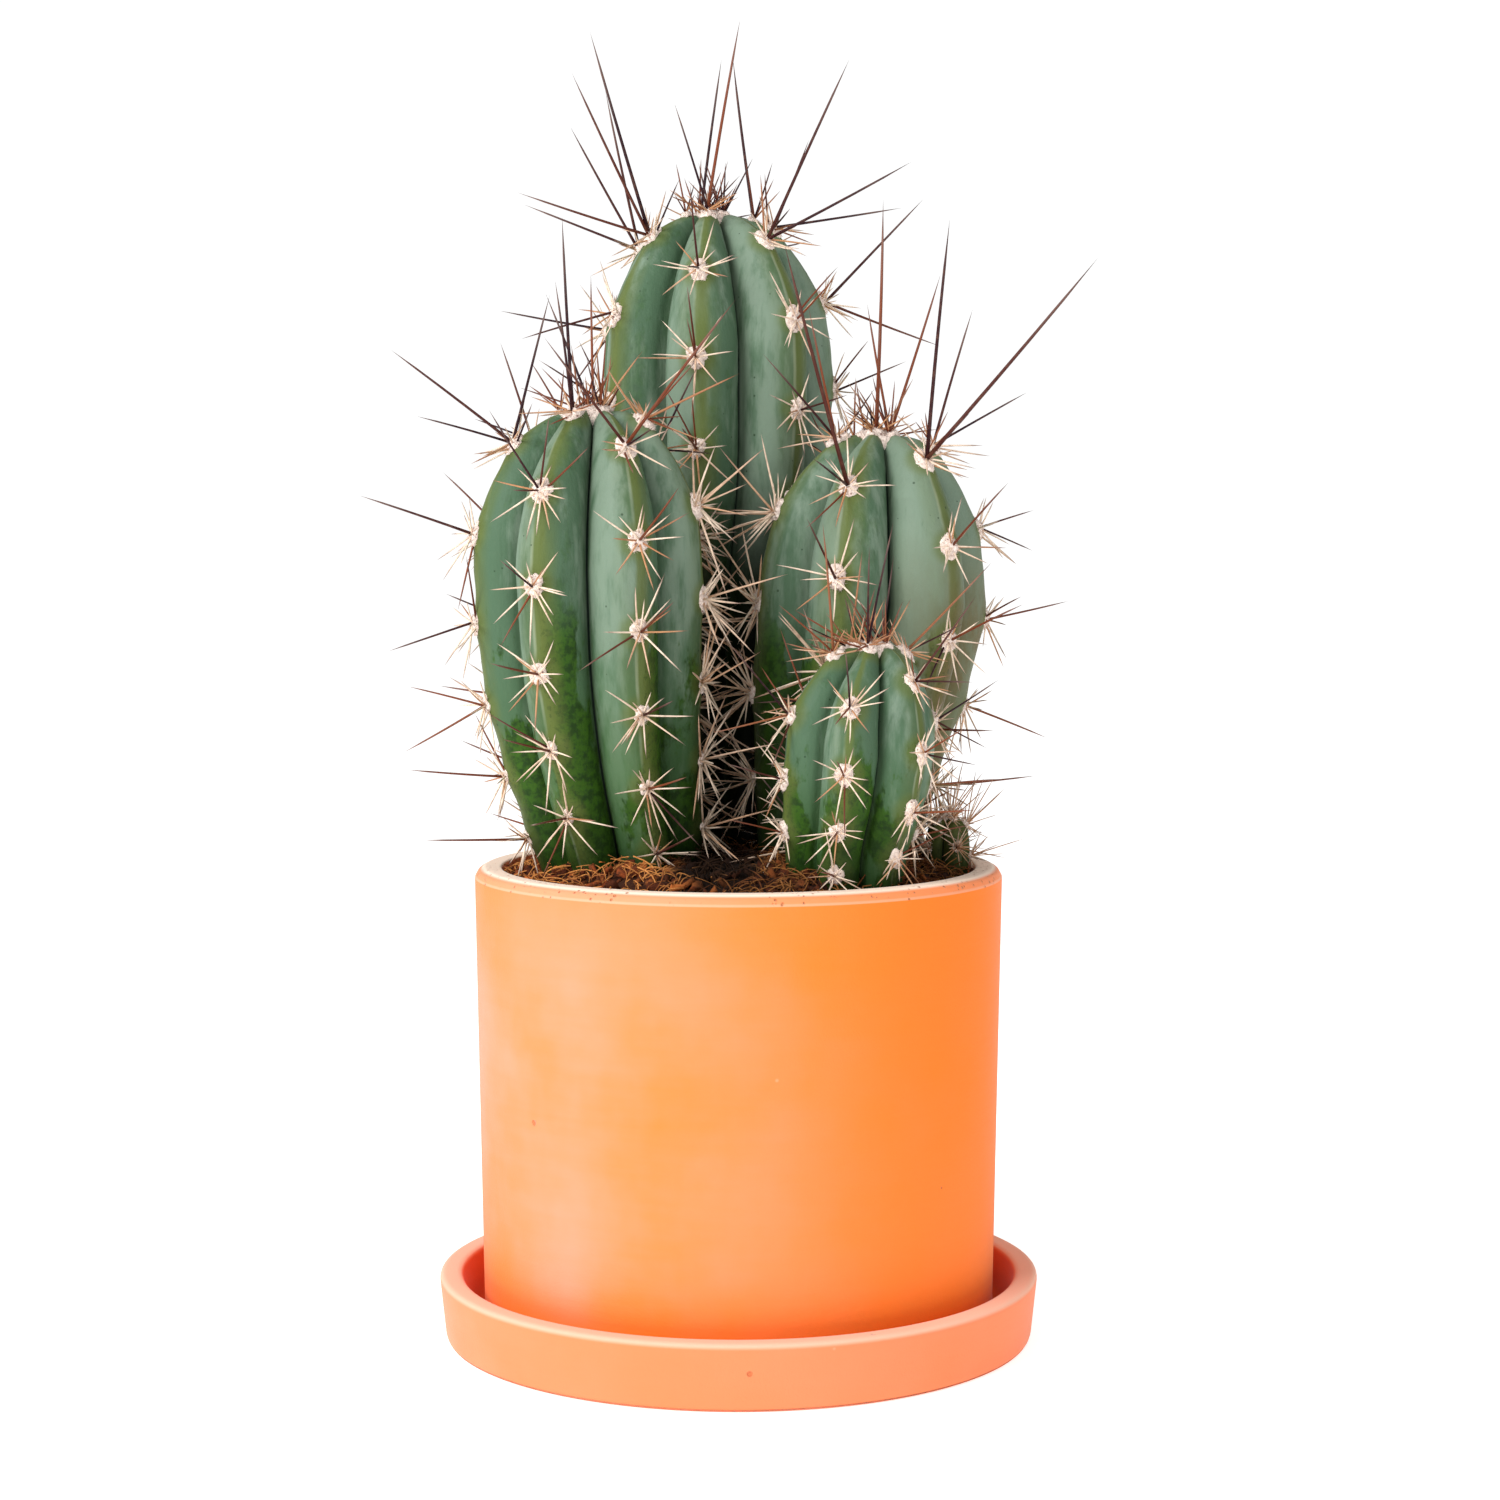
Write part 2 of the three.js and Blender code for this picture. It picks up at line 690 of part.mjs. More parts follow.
const areolesOf = (stem) => Array.from({ length: stem.ribs }, (_, rib) => ribAreoles(stem, rib)).flat();

function dressedStem(name, draw, placed) {
  const stem = STEMS[name];
  const others = Object.entries(STEMS).filter(([other]) => other !== name).map(([, value]) => value);
  const isClear = (root, tip) => spineIsClear(root, tip, name, others, placed);
  const keep = (root, tip) => placed.push({ owner: name, root, tip });
  let solid = stemBody(stem, 0);
  for (const areole of areolesOf(stem)) {
    const tips = areoleTips(stem, areole, draw, isClear, keep);
    solid = solid.add(areoleSolid(stem, areole, tips));
  }
  return solid;
}

// The finished plant

const terracotta = new THREE.MeshStandardMaterial({ color: 0xee8a4c, roughness: 0.85, metalness: 0 });
const paleTerracotta = new THREE.MeshStandardMaterial({ color: 0xf2a57c, roughness: 0.88, metalness: 0 });
const pottingMix = new THREE.MeshStandardMaterial({ color: 0x6b3b22, roughness: 0.95, metalness: 0 });
const skin = new THREE.MeshStandardMaterial({ color: 0x4f7a5c, roughness: 0.55, metalness: 0 });

const group = new THREE.Group();
group.add(toMesh("saucer", toSolid(turnedGeometry(saucerProfile(), TURNED_SIDES)), paleTerracotta));
group.add(toMesh("pot", toSolid(turnedGeometry(potProfile(), TURNED_SIDES)), terracotta));

let soil = soilSolid();
for (const stem of Object.values(STEMS)) {
  soil = soil.subtract(stemBody(stem, GAP + 0.1));
}
group.add(toMesh("soil", soil, pottingMix));

// The given spines are laid out first, so that the others keep clear of them.
const placed = [];
for (const [name, stem] of Object.entries(STEMS)) {
  for (const areole of areolesOf(stem)) {
    const root = hubOf(stem, areole);
    placed.push(...givenTips(stem, areole).map((tip) => ({ owner: name, root, tip })));
  }
}

const draw = seededDraw(20);
for (const name of Object.keys(STEMS)) {
  group.add(toMesh(name, dressedStem(name, draw, placed), skin));
}

export default group;
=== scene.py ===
"""The finished look of a potted toothpick cactus.

Makes its ribbed skins, felt buttons, spines, potting mix, pot and saucer, and the stage round them.
Metres, +Z up. The origin is the middle of the saucer's underside, and the plant is seen from -Y.
A bearing is an angle round a stem, from the front (-Y) towards +X. Growth figures are in millimetres.
"""

import math

import bmesh
import bpy
import numpy as np
from bpy.props import FloatProperty, FloatVectorProperty, IntProperty, PointerProperty
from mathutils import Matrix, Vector


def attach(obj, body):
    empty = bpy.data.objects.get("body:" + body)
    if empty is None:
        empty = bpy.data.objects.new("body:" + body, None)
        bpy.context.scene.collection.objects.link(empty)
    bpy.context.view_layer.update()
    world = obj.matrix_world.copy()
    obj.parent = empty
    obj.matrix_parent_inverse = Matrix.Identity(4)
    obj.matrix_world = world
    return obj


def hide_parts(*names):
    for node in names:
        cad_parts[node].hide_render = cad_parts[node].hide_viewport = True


bl_info = {
    "name": "Potted toothpick cactus",
    "version": (1, 0, 0),
    "blender": (4, 5, 0),
    "location": "3D View > Sidebar > Cactus",
    "description": "Grows a clump of ribbed, spiny stems in a terracotta pot on its saucer",
    "category": "Add Mesh",
}

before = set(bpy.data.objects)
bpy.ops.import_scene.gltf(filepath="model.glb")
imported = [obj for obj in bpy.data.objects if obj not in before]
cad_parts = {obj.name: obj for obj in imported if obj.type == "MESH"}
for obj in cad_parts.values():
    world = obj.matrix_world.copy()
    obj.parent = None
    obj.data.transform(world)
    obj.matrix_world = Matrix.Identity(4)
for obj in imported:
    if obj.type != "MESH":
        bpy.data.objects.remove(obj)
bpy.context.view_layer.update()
MM = 0.001
RAD = math.pi / 180
FULL_TURN = 2 * math.pi

# Each stem's stations run from its foot to its shoulder: height, axis, and radius at a rib's crest.
# groove is the radius between two ribs as a part of the crest's, and crown the dome's height.
# first is the distance along each rib from the tip to its first grown areole. From there on the
# areoles are pitch apart, less crowding for each millimetre that they lie from the tip.
# wax is how glaucous the skin is, and it wears off below worn_below. rusty is the share of the
# central spines that are rust red.
STEMS = {
    "stem_back": {
        "ribs": 7, "facing": -8, "groove": 0.67, "crown": 45.5, "tip": (-7.3, 49.5),
        "stations": [
            (109, -9, 34, 18), (120, -9, 35, 22), (150, -9, 41.5, 23.5), (180, -8.6, 47, 24.5),
            (205, -7.6, 49, 26.5), (230, -6.8, 49.5, 31.6), (258, -6.8, 49.5, 33),
        ],
        "first": [9.5, 23.5, 17, 24, 12, 24, 21], "pitch": 24.6, "crowding": 0.01,
        "size": 1, "wax": 1, "rusty": 0.15, "worn_below": 225,
    },
    "stem_left": {
        "ribs": 7, "facing": -24, "groove": 0.66, "crown": 43, "tip": (-37.6, -12),
        "stations": [
            (109, -29, -7, 16.5), (120, -29.8, -8, 20.5), (131, -31.6, -9, 22.3), (151, -35.2, -10.5, 25.4),
            (168, -37.3, -11.5, 27.8), (183, -38.4, -12, 29.2), (204, -39, -12, 30.1),
        ],
        "first": [11, 24, 14, 24, 12, 22, 23.5], "pitch": 27, "crowding": 0.085,
        "size": 1, "wax": 0.85, "rusty": 0.3, "worn_below": 212,
    },
    "stem_right": {
        "ribs": 6, "facing": -20, "groove": 0.66, "crown": 46.5, "tip": (37.8, 12),
        "stations": [
            (109, 26, 5, 16.5), (120, 26.4, 5, 20.8), (146, 28.6, 7.5, 24.2), (169, 32.3, 10, 28.7),
            (182, 34.3, 11.5, 30.4), (195, 36, 12, 30.8),
        ],
        "first": [3.5, 20, 14.5, 9, 20, 11.5], "pitch": 25.6, "crowding": 0.03,
        "size": 1, "wax": 1.35, "rusty": 0.42, "worn_below": 205,
    },
    "stem_front": {
        "ribs": 6, "facing": -12, "groove": 0.67, "crown": 28.5, "tip": (34.3, -36),
        "stations": [
            (109, 27.3, -32, 12.5), (120, 27.3, -33, 15.2), (133, 27.7, -34, 16.2),
            (146, 29.6, -35.5, 18.7), (158, 31, -36, 19.7),
        ],
        "first": [6, 17.5, 9, 18, 7, 10.5], "pitch": 20.5, "crowding": 0.155,
        "size": 0.82, "wax": 0.55, "rusty": 0.42, "worn_below": 171,
    },
    "pup": {
        "ribs": 5, "facing": 20, "groove": 0.72, "crown": 8, "tip": (55.8, 0),
        "stations": [(114, 55, 0, 4.4), (122, 55, 0, 5.8), (131, 55.4, 0, 6.2)],
        "first": [3, 5.5, 2.5, 5.5, 3.5], "pitch": 8, "crowding": 0,
        "size": 0.42, "wax": 0.35, "rusty": 0.5, "worn_below": 150,
    },
}
CROWN_DIP = 0.08  # of the crown's height, at its very tip
CROWN_PINCH = 0.085  # of the crown's height, in its grooves
FOOT_ROUNDING = 0.3  # of the foot's radius
LOWEST_AREOLE = 123  # the least height at which one is looked for
OLD_FELT = (55, 130)  # distances from the tip between which felt wears down
CLUMP_MIDDLE = (5, 6)  # where the stems face each other
CLUMP_RADIUS, CLUMP_TOP = 30, 221  # and how far that reaches
CLUMP_RADIALS = 9  # that an areole there has beside those of the others
FINE_RADIALS, PUP_RADIALS = 4, 7  # that a grown areole has beside those of the solid
YOUNG_TUFT, PUP_TUFT = 4, 7  # upright spines of a young areole, and of each one of the pup
LONG_SPINE = 30  # spines shorter than this are pale in the clump
ROOT_DEPTH = 0.9  # of a spine's root in the felt
ANY_TURN = 6.283  # the greatest random turn of a spine or a chip

# Fixed tones of the materials, beside the colours in the settings
TONES = {
    "clay pit": (0.35, 0.10, 0.03),
    "clay grit": (0.95, 0.76, 0.55),
    "saucer lip": (0.93, 0.60, 0.45),
    "painted saucer shade": (0.80, 0.13, 0.02),
    "rim top": (0.99, 0.81, 0.66),
    "rim pit": (0.50, 0.18, 0.055),
    "fresh skin": (0.034, 0.099, 0.018),
    "bruise": (0.012, 0.037, 0.003),
    "painted crest highlight": (0.34, 0.38, 0.26),
    "tanned skin": (0.120, 0.086, 0.030),
    "mottle": (0.014, 0.036, 0.012),
    "dot": (0.012, 0.028, 0.012),
    "scar": (0.55, 0.56, 0.36),
    "stained and shaded foot": (0.007, 0.024, 0.003),
    "painted clump shade": (0.008, 0.018, 0.003),
    "painted gap shade": (0.006, 0.007, 0.003),
    "painted furrow shade": (0.020, 0.041, 0.009),
    "groove": (0.001, 0.010, 0.006),
    "felt blotch": (0.50, 0.31, 0.25),
    "spine root": (0.40, 0.20, 0.09),
    "spine streak": (0.16, 0.07, 0.04),
    "crumb grain": (0.07, 0.026, 0.011),
    "bark grain": (0.075, 0.028, 0.014),
    "bright bark": (0.62, 0.18, 0.04),
    "dark bark": (0.05, 0.012, 0.005),
    "dark coir": (0.24, 0.065, 0.02),
    "painted shade on the mix": (0.008, 0.003, 0.001),
}


def colour(name, text, value):
    return FloatVectorProperty(
        name=name, description=text, default=value, size=3, subtype="COLOR", min=0, max=1
    )


def length(name, text, millimetres):
    return FloatProperty(name=name, description=text, default=millimetres * MM, unit="LENGTH")


def amount(name, text, value, **more):
    return FloatProperty(name=name, description=text, default=value, min=0, **more)


class SaucerSettings(bpy.types.PropertyGroup):
    foot_radius: length("Foot radius", "Radius of the flat that the saucer stands on", 76.4)
    wall_foot_radius: length("Wall foot radius", "Outside radius where the wall starts", 78.4)
    lip_radius: length("Lip radius", "Outside radius of the lip", 80.1)
    lip_inner_radius: length("Lip inner radius", "Inside radius of the lip", 73.9)
    floor_radius: length("Floor radius", "Radius of the flat inside", 70.5)
    height: length("Height", "Height of the lip", 17.5)
    floor: length("Floor", "Height of the flat inside", 6)
    edge: length("Edge", "Rounding of the lip", 2)
    clay: colour("Clay", "Body colour of the saucer's clay", (0.87, 0.228, 0.088))
    bloom: colour("Bloom", "Paler colour that salts leave on the clay", (0.92, 0.375, 0.25))


class PotSettings(bpy.types.PropertyGroup):
    base_radius: length("Base radius", "Outside radius at the foot", 68)
    rim_radius: length("Rim radius", "Outside radius at the rim", 70)
    rim_inner_radius: length("Rim inner radius", "Inside radius at the rim", 62.8)
    floor_inner_radius: length("Floor inner radius", "Inside radius at the floor", 61.2)
    rim_top: length("Rim top", "Height of the rim above the table", 125.9)
    rim_edge: length("Rim edge", "Width of the rim's eased outer edge", 2.7)
    floor_thickness: length("Floor thickness", "Thickness of the floor", 8)
    drain_radius: length("Drain radius", "Radius of the drain hole", 8)
    edge: length("Edge", "Rounding of the other edges", 1.6)
    clay: colour("Clay", "Body colour of the pot's clay", (0.95, 0.205, 0.020))
    bloom: colour("Bloom", "Paler colour that salts leave on the clay", (0.93, 0.325, 0.228))
    # the damp colour is painted bounce light from the saucer, a stronger orange near the foot, laid as damp
    # clay
    damp: colour("Damp", "Colour of the clay where it stays damp, near the foot", (0.97, 0.205, 0.012))
    dust: colour("Dust", "Pale dust along the rim", (0.93, 0.56, 0.40))


class SoilSettings(bpy.types.PropertyGroup):
    wall_top: length("Height at the wall", "Height of the mix where it meets the pot", 121.5)
    mound_top: length("Height at the stems", "Height of the mix round the stems", 127)
    mound_radius: length("Mound radius", "Radius at which the mix starts to fall away", 44)
    lump: length("Lumps", "Height of the lumps", 0.8)
    chips: amount("Chips", "Bark chips on each square metre", 52000)
    fibres: amount("Fibres", "Coir fibres on each square metre", 150000)
    mix: colour("Mix", "Colour of the fine mix", (0.030, 0.008, 0.004))
    bark: colour("Bark", "Colour of the bark chips", (0.27, 0.058, 0.014))
    coir: colour("Coir", "Colour of the coir fibres", (0.68, 0.275, 0.075))


class StemSettings(bpy.types.PropertyGroup):
    columns: IntProperty(name="Columns", description="Faces across each rib", default=18, min=6, max=40)
    row: length("Row height", "Height of one row of faces", 1.6)
    swell: length("Swelling", "How far a rib swells under a felt button", 0.7)
    swell_width: length("Swelling width", "Distance from the button at which the swelling ends", 8.5)
    wave: length("Waviness", "Height of the skin's slight unevenness", 0.35)
    crease: length("Crease", "Depth of the sharp crease in each groove", 1.3)
    bloom: colour("Wax", "Glaucous wax on the ribs' flanks", (0.182, 0.250, 0.184))
    flesh: colour("Flesh", "Green of the skin where the wax is thin", (0.066, 0.126, 0.071))
    crest: colour("Crest", "Yellow-green along the ribs' crests", (0.106, 0.136, 0.034))
    worn: colour("Worn skin", "Vivid green where the wax has worn off", (0.031, 0.088, 0.005))


class FeltSettings(bpy.types.PropertyGroup):
    radius: length("Radius", "Radius of a grown felt button", 2.7)
    height: length("Height", "Height of a grown felt button", 1.7)
    hair: length("Hair", "Length of the wool's hairs", 0.75)
    density: amount("Hairs", "Hairs on each square metre of felt", 4.2e6)
    wool: colour("Wool", "Colour of the felt", (0.95, 0.80, 0.71))
    stain: colour("Stain", "Colour of the specks in the felt", (0.22, 0.075, 0.05))


class SpineSettings(bpy.types.PropertyGroup):
    root_radius: length("Root radius", "Radius of the shortest spines at their root", 0.2)
    thickening: amount("Thickening", "Radius that a spine gains for each length of it", 0.0058)
    greatest_radius: length("Greatest radius", "Radius of the thickest spines at their root", 0.58)
    straw: colour("Straw", "Colour of the radial spines", (0.88, 0.70, 0.55))
    amber: colour("Amber", "Golden brown of dry young spines", (0.54, 0.27, 0.13))
    rust: colour("Rust", "Colour of the middle central spines", (0.19, 0.045, 0.016))
    maroon: colour("Maroon", "Colour of the crown's spines", (0.020, 0.004, 0.008))
    ash: colour("Ash", "Grey of weathered tips", (0.20, 0.13, 0.11))


class StageSettings(bpy.types.PropertyGroup):
    key: amount("Key", "Power of the soft light at the left", 33, subtype="POWER", unit="POWER")
    fill: amount("Fill", "Power of the soft light at the right", 4, subtype="POWER", unit="POWER")
    sky: amount("Surround", "Brightness of the white surround", 0.52)
    glow: amount("Floor glow", "Light that comes up through the white floor", 0.62)
    floor: colour("Floor", "Colour of the floor", (0.93, 0.93, 0.93))


# Small helpers for trees of nodes, for shaders and for growth alike


class Nodes:
    """Adds nodes to a tree, and gives values, tones or other nodes' outputs straight to their inputs."""

    def __init__(self, tree):
        self.tree = tree

    def add(self, kind, inputs=None, **settings):
        node = self.tree.nodes.new(kind)
        for key, value in settings.items():
            setattr(node, key, value)
        for key, value in (inputs or {}).items():
            self.put(node.inputs[key], value)
        return node

    def put(self, socket, value):
        if isinstance(value, bpy.types.NodeSocket):
            self.tree.links.new(value, socket)
            return
        if socket.type == "RGBA":
            value = (*(TONES[value] if isinstance(value, str) else value), 1)
        socket.default_value = value

    def math(self, operation, *values):
        return self.add("ShaderNodeMath", dict(enumerate(values)), operation=operation).outputs[0]

    def times(self, value, *factors):
        for factor in factors:
            value = self.math("MULTIPLY", value, factor)
        return value

    def plus(self, a, b):
        return self.math("ADD", a, b)

    def minus(self, a, b):
        return self.math("SUBTRACT", a, b)

    def linear(self, value, factor, offset):
        """A value times a factor, plus an offset."""
        return self.math("MULTIPLY_ADD", value, factor, offset)

    def vector(self, operation, *values):
        node = self.add("ShaderNodeVectorMath", dict(enumerate(values)), operation=operation)
        return node.outputs["Value" if operation == "LENGTH" else "Vector"]

    def scaled(self, vector, factor):
        return self.add("ShaderNodeVectorMath", {0: vector, 3: factor}, operation="SCALE").outputs["Vector"]

    def split(self, vector):
        return self.add("ShaderNodeSeparateXYZ", {0: vector}).outputs

    def joined(self, x, y, z):
        return self.add("ShaderNodeCombineXYZ", {0: x, 1: y, 2: z}).outputs[0]

    def ease(self, value, low, high, start=0.0, end=1.0):
        inputs = {0: value, 1: low, 2: high, 3: start, 4: end}
        return self.add("ShaderNodeMapRange", inputs, interpolation_type="SMOOTHSTEP").outputs[0]

    def noise(self, vector, scale, detail=3.0, roughness=0.5):
        inputs = {"Vector": vector, "Scale": scale, "Detail": detail, "Roughness": roughness}
        return self.add("ShaderNodeTexNoise", inputs).outputs[0]

    def mix(self, factor, a, b):
        return self.add("ShaderNodeMix", {0: factor, 6: a, 7: b}, data_type="RGBA").outputs[2]

    def shared(self, effect, inputs):
        """The outputs of a shader node group, which is made the first time that it is asked for."""
        group = bpy.data.node_groups.get(effect) or EFFECTS[effect]()
        return self.add("ShaderNodeGroup", inputs, node_tree=group).outputs

    def specks(self, vector, scale, share, size):
        inputs = {"Vector": vector, "Scale": scale, "Share": share, "Size": size}
        return self.shared("Specks", inputs)["Mask"]


def group_inputs(tree, sockets):
    """Gives a tree its named inputs, each with its default, or with its kind where it has none."""
    for name, value in sockets.items():
        kind = value if isinstance(value, str) else {int: "Int", float: "Float", tuple: "Color"}[type(value)]
        socket = tree.interface.new_socket(name, in_out="INPUT", socket_type="NodeSocket" + kind)
        if kind != value:
            socket.default_value = (*value, 1) if kind == "Color" else value


# Growth by Geometry Nodes


class Growth(Nodes):
    """A Geometry Nodes tree from a seed to a finished surface in one material."""

    def __init__(self, name, sockets):
        super().__init__(bpy.data.node_groups.new(name, "GeometryNodeTree"))
        group_inputs(self.tree, {"Geometry": "Geometry", **sockets, "Material": "Material"})
        self.tree.interface.new_socket("Geometry", in_out="OUTPUT", socket_type="NodeSocketGeometry")
        self.given = self.add("NodeGroupInput").outputs
        self.position = self.add("GeometryNodeInputPosition").outputs[0]
        self.normal = self.add("GeometryNodeInputNormal").outputs[0]

    def attribute(self, name, kind="FLOAT"):
        return self.add("GeometryNodeInputNamedAttribute", {0: name}, data_type=kind).outputs[0]

    def store(self, geometry, name, value):
        inputs = {"Geometry": geometry, "Name": name, "Value": value}
        node = self.add("GeometryNodeStoreNamedAttribute", inputs, data_type="FLOAT", domain="POINT")
        return node.outputs[0]

    def sample(self, geometry, value, index, kind="FLOAT"):
        inputs = {"Geometry": geometry, "Value": value, "Index": index}
        return self.add("GeometryNodeSampleIndex", inputs, data_type=kind, clamp=True).outputs[0]

    def moved(self, geometry, **how):
        """A geometry with each point at a Position, or pushed by an Offset."""
        return self.add("GeometryNodeSetPosition", {"Geometry": geometry, **how}).outputs[0]

    def chance(self, low, high, seed):
        """A random number, or a random vector where low and high are tuples."""
        kind, first, output = ("FLOAT_VECTOR", 0, 0) if isinstance(low, tuple) else ("FLOAT", 2, 1)
        inputs = {first: low, first + 1: high, "Seed": seed}
        return self.add("FunctionNodeRandomValue", inputs, data_type=kind).outputs[output]

    def aimed(self, vector, axis="Z", rotation=None, pivot="AUTO"):
        inputs = {"Vector": vector} if rotation is None else {"Vector": vector, "Rotation": rotation}
        return self.add("FunctionNodeAlignRotationToVector", inputs, axis=axis, pivot_axis=pivot).outputs[0]

    def cone(self, sides, segments, radius):
        """A cone of length 1 along Z, with a closed foot."""
        inputs = {"Vertices": sides, "Side Segments": segments, "Depth": 1.0}
        inputs |= {"Radius Top": 0.0, "Radius Bottom": radius}
        return self.add("GeometryNodeMeshCone", inputs, fill_type="NGON").outputs[0]

    def scattered(self, mesh, where, density, seed):
        inputs = {"Mesh": mesh, "Selection": where, "Density": density, "Seed": seed}
        return self.add("GeometryNodeDistributePointsOnFaces", inputs, distribute_method="RANDOM").outputs

    def spread(self, points, instance, rotation, scale):
        inputs = {"Points": points, "Instance": instance, "Rotation": rotation, "Scale": scale}
        return self.realised(self.add("GeometryNodeInstanceOnPoints", inputs).outputs[0])

    def realised(self, geometry):
        return self.add("GeometryNodeRealizeInstances", {0: geometry}).outputs[0]

    def together(self, *geometries):
        node = self.add("GeometryNodeJoinGeometry")
        for geometry in geometries:
            self.tree.links.new(geometry, node.inputs[0])
        return node.outputs[0]

    def finish(self, geometry):
        smooth = self.add("GeometryNodeSetShadeSmooth", {"Geometry": geometry}).outputs[0]
        whole = self.realised(smooth)
        dressed = self.add("GeometryNodeSetMaterial", {"Geometry": whole, "Material": self.given["Material"]})
        output = self.add("NodeGroupOutput")
        self.tree.links.new(dressed.outputs[0], output.inputs[0])
        return self.tree


def linked(name, data):
    """A new object of the scene."""
    item = bpy.data.objects.new(name, data)
    bpy.context.scene.collection.objects.link(item)
    return item


def seed_mesh(name, points, attributes):
    """Loose points that carry attributes, for a growth to start from. All is in metres."""
    mesh = bpy.data.meshes.new(name)
    mesh.from_pydata([tuple(p) for p in points], [], [])
    for key, values in attributes.items():
        values = np.asarray(values, np.float32)
        kind, field = ("FLOAT_VECTOR", "vector") if values.ndim == 2 else ("FLOAT", "value")
        mesh.attributes.new(key, kind, "POINT").data.foreach_set(field, values.ravel())
    return mesh


def grown(name, mesh, tree, values):
    """Runs a growth over a seed mesh, and keeps the result as a plain mesh."""
    seed = linked(name + "_seed", mesh)
    modifier = seed.modifiers.new("Growth", "NODES")
    modifier.node_group = tree
    for item in tree.interface.items_tree:
        if item.in_out == "INPUT" and item.name in values:
            modifier[item.identifier] = values[item.name]
    depsgraph = bpy.context.evaluated_depsgraph_get()
    result = bpy.data.meshes.new_from_object(
        seed.evaluated_get(depsgraph), preserve_all_data_layers=True, depsgraph=depsgraph
    )
    bpy.data.objects.remove(seed)
    result.name = name
    return linked(name, result)


def settle(piece, node):
    """The piece stands for a node of the plant, rides the root body, and hides the node's own part."""
    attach(piece, "root")
    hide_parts(node)


# The plant's rules


def clamped(value, low=0, high=1):
    return min(max(value, low), high)


def station_at(stem, z):
    """The axis and the crest radius at a height, on one smooth curve through the stations."""
    rows = stem["stations"]
    last = len(rows) - 1
    index = next((k for k, row in enumerate(rows) if row[0] > z), last + 1) - 1
    index = clamped(index, 0, last - 1)
    a, b = rows[index], rows[index + 1]
    before, after = rows[max(index - 1, 0)], rows[min(index + 2, last)]
    t = clamped((z - a[0]) / (b[0] - a[0]))

    def curve(k):
        slope_a = (b[k] - before[k]) / (b[0] - before[0]) * (b[0] - a[0])
        slope_b = (after[k] - a[k]) / (after[0] - a[0]) * (b[0] - a[0])
        rise = b[k] - a[k]
        bow = 3 * rise - 2 * slope_a - slope_b + t * (slope_a + slope_b - 2 * rise)
        return a[k] + t * (slope_a + t * bow)

    return curve(1), curve(2), curve(3)


def crown_row(stem, climb):
    """The crown's middle, crest radius and crest lift, at a climb from 0, its shoulder, to 90, its tip."""
    z, x, y, r = stem["stations"][-1]
    lean, reach = math.sin(climb * RAD), math.cos(climb * RAD)
    crest = stem["crown"] * (lean - CROWN_DIP * (1 - reach) ** 6)
    valley = stem["crown"] * (lean * (1 - CROWN_DIP) - CROWN_PINCH * 2 * lean * reach)
    tip_x, tip_y = stem["tip"]
    middle = (x + (tip_x - x) * lean * lean, y + (tip_y - y) * lean * lean, z + valley)
    return middle, r * reach, crest - valley


def stem_rows(stem, step):
    """The rows of a stem from the sole to the tip: middle, crest radius and crest lift."""
    foot, shoulder = stem["stations"][0][0], stem["stations"][-1][0]
    x, y, r = station_at(stem, foot)
    rows = [((x, y, foot - FOOT_ROUNDING * r), 0, 0)]
    count = round((shoulder - foot) / step)
    for i in range(count):
        z = foot + (shoulder - foot) * i / count
        x, y, r = station_at(stem, z)
        rows.append(((x, y, z), r, 0))
    dome = math.hypot(stem["stations"][-1][3], stem["crown"]) * 1.15
    turns = max(12, round(dome / step))
    rows.extend(crown_row(stem, 90 * i / turns) for i in range(turns + 1))
    return rows


def crest_point(stem, bearing, climb=None, z=None):
    """A point of a rib's crest, at a climb of the crown or at a height below it."""
    if z is None:
        (x, y, z), r, lift = crown_row(stem, climb)
        z += lift
    else:
        x, y, r = station_at(stem, z)
    return np.array([x + r * math.sin(bearing * RAD), y - r * math.cos(bearing * RAD), z])


def soil_height(x, y):
    soil, pot = bpy.context.scene.cactus_soil, bpy.context.scene.cactus_pot
    outward = (math.hypot(x, y) * MM - soil.mound_radius) / (pot.rim_inner_radius - soil.mound_radius)
    outward = clamped(outward)
    fall = outward * outward * (3 - 2 * outward)
    waves = math.sin(0.31 * x + 1.3) * math.cos(0.27 * y) + 0.7 * math.sin(0.62 * x - 0.45 * y)
    height = soil.mound_top + (soil.wall_top - soil.mound_top) * fall + soil.lump * waves * (1 - fall * 0.5)
    return height / MM


def areoles_of(stem):
    """Each areole's place on its rib, with the frame that it stands in."""
    found = []
    size = stem["size"]
    for rib in range(stem["ribs"]):
        bearing = stem["facing"] + rib * 360 / stem["ribs"]
        side = np.array([math.cos(bearing * RAD), math.sin(bearing * RAD), 0])
        crest = [crest_point(stem, bearing, climb=89.5 - 0.5 * i) for i in range(179)]
        heights = np.arange(stem["stations"][-1][0], LOWEST_AREOLE, -0.5)
        crest += [crest_point(stem, bearing, z=z) for z in heights]
        walked, due = 0.0, stem["first"][rib]
        # two young areoles at most on every other rib, and one on the ribs between
        young = (2.6 + 1.4 * (rib % 2), 8.5 + 1.5 * (rib % 3))[: 2 - rib % 2]
        young = [distance for distance in young if distance < due - 4 * size]
        for below, here, above in zip(crest[2:], crest[1:], crest):
            walked += np.linalg.norm(here - above)
            is_young = bool(young) and young[0] <= walked < due and size > 0.5
            if not is_young and walked < due:
                continue
            if here[2] <= soil_height(here[0], here[1]) + 2.5 * size:
                break
            up = (above - below) / np.linalg.norm(above - below)
            out = np.cross(side, up)
            out /= np.linalg.norm(out)
            found.append({"at": here, "up": up, "out": out, "side": side, "down": walked, "young": is_young})
            if is_young:
                young.pop(0)
            else:
                due = walked + stem["pitch"] - stem["crowding"] * walked
    return found


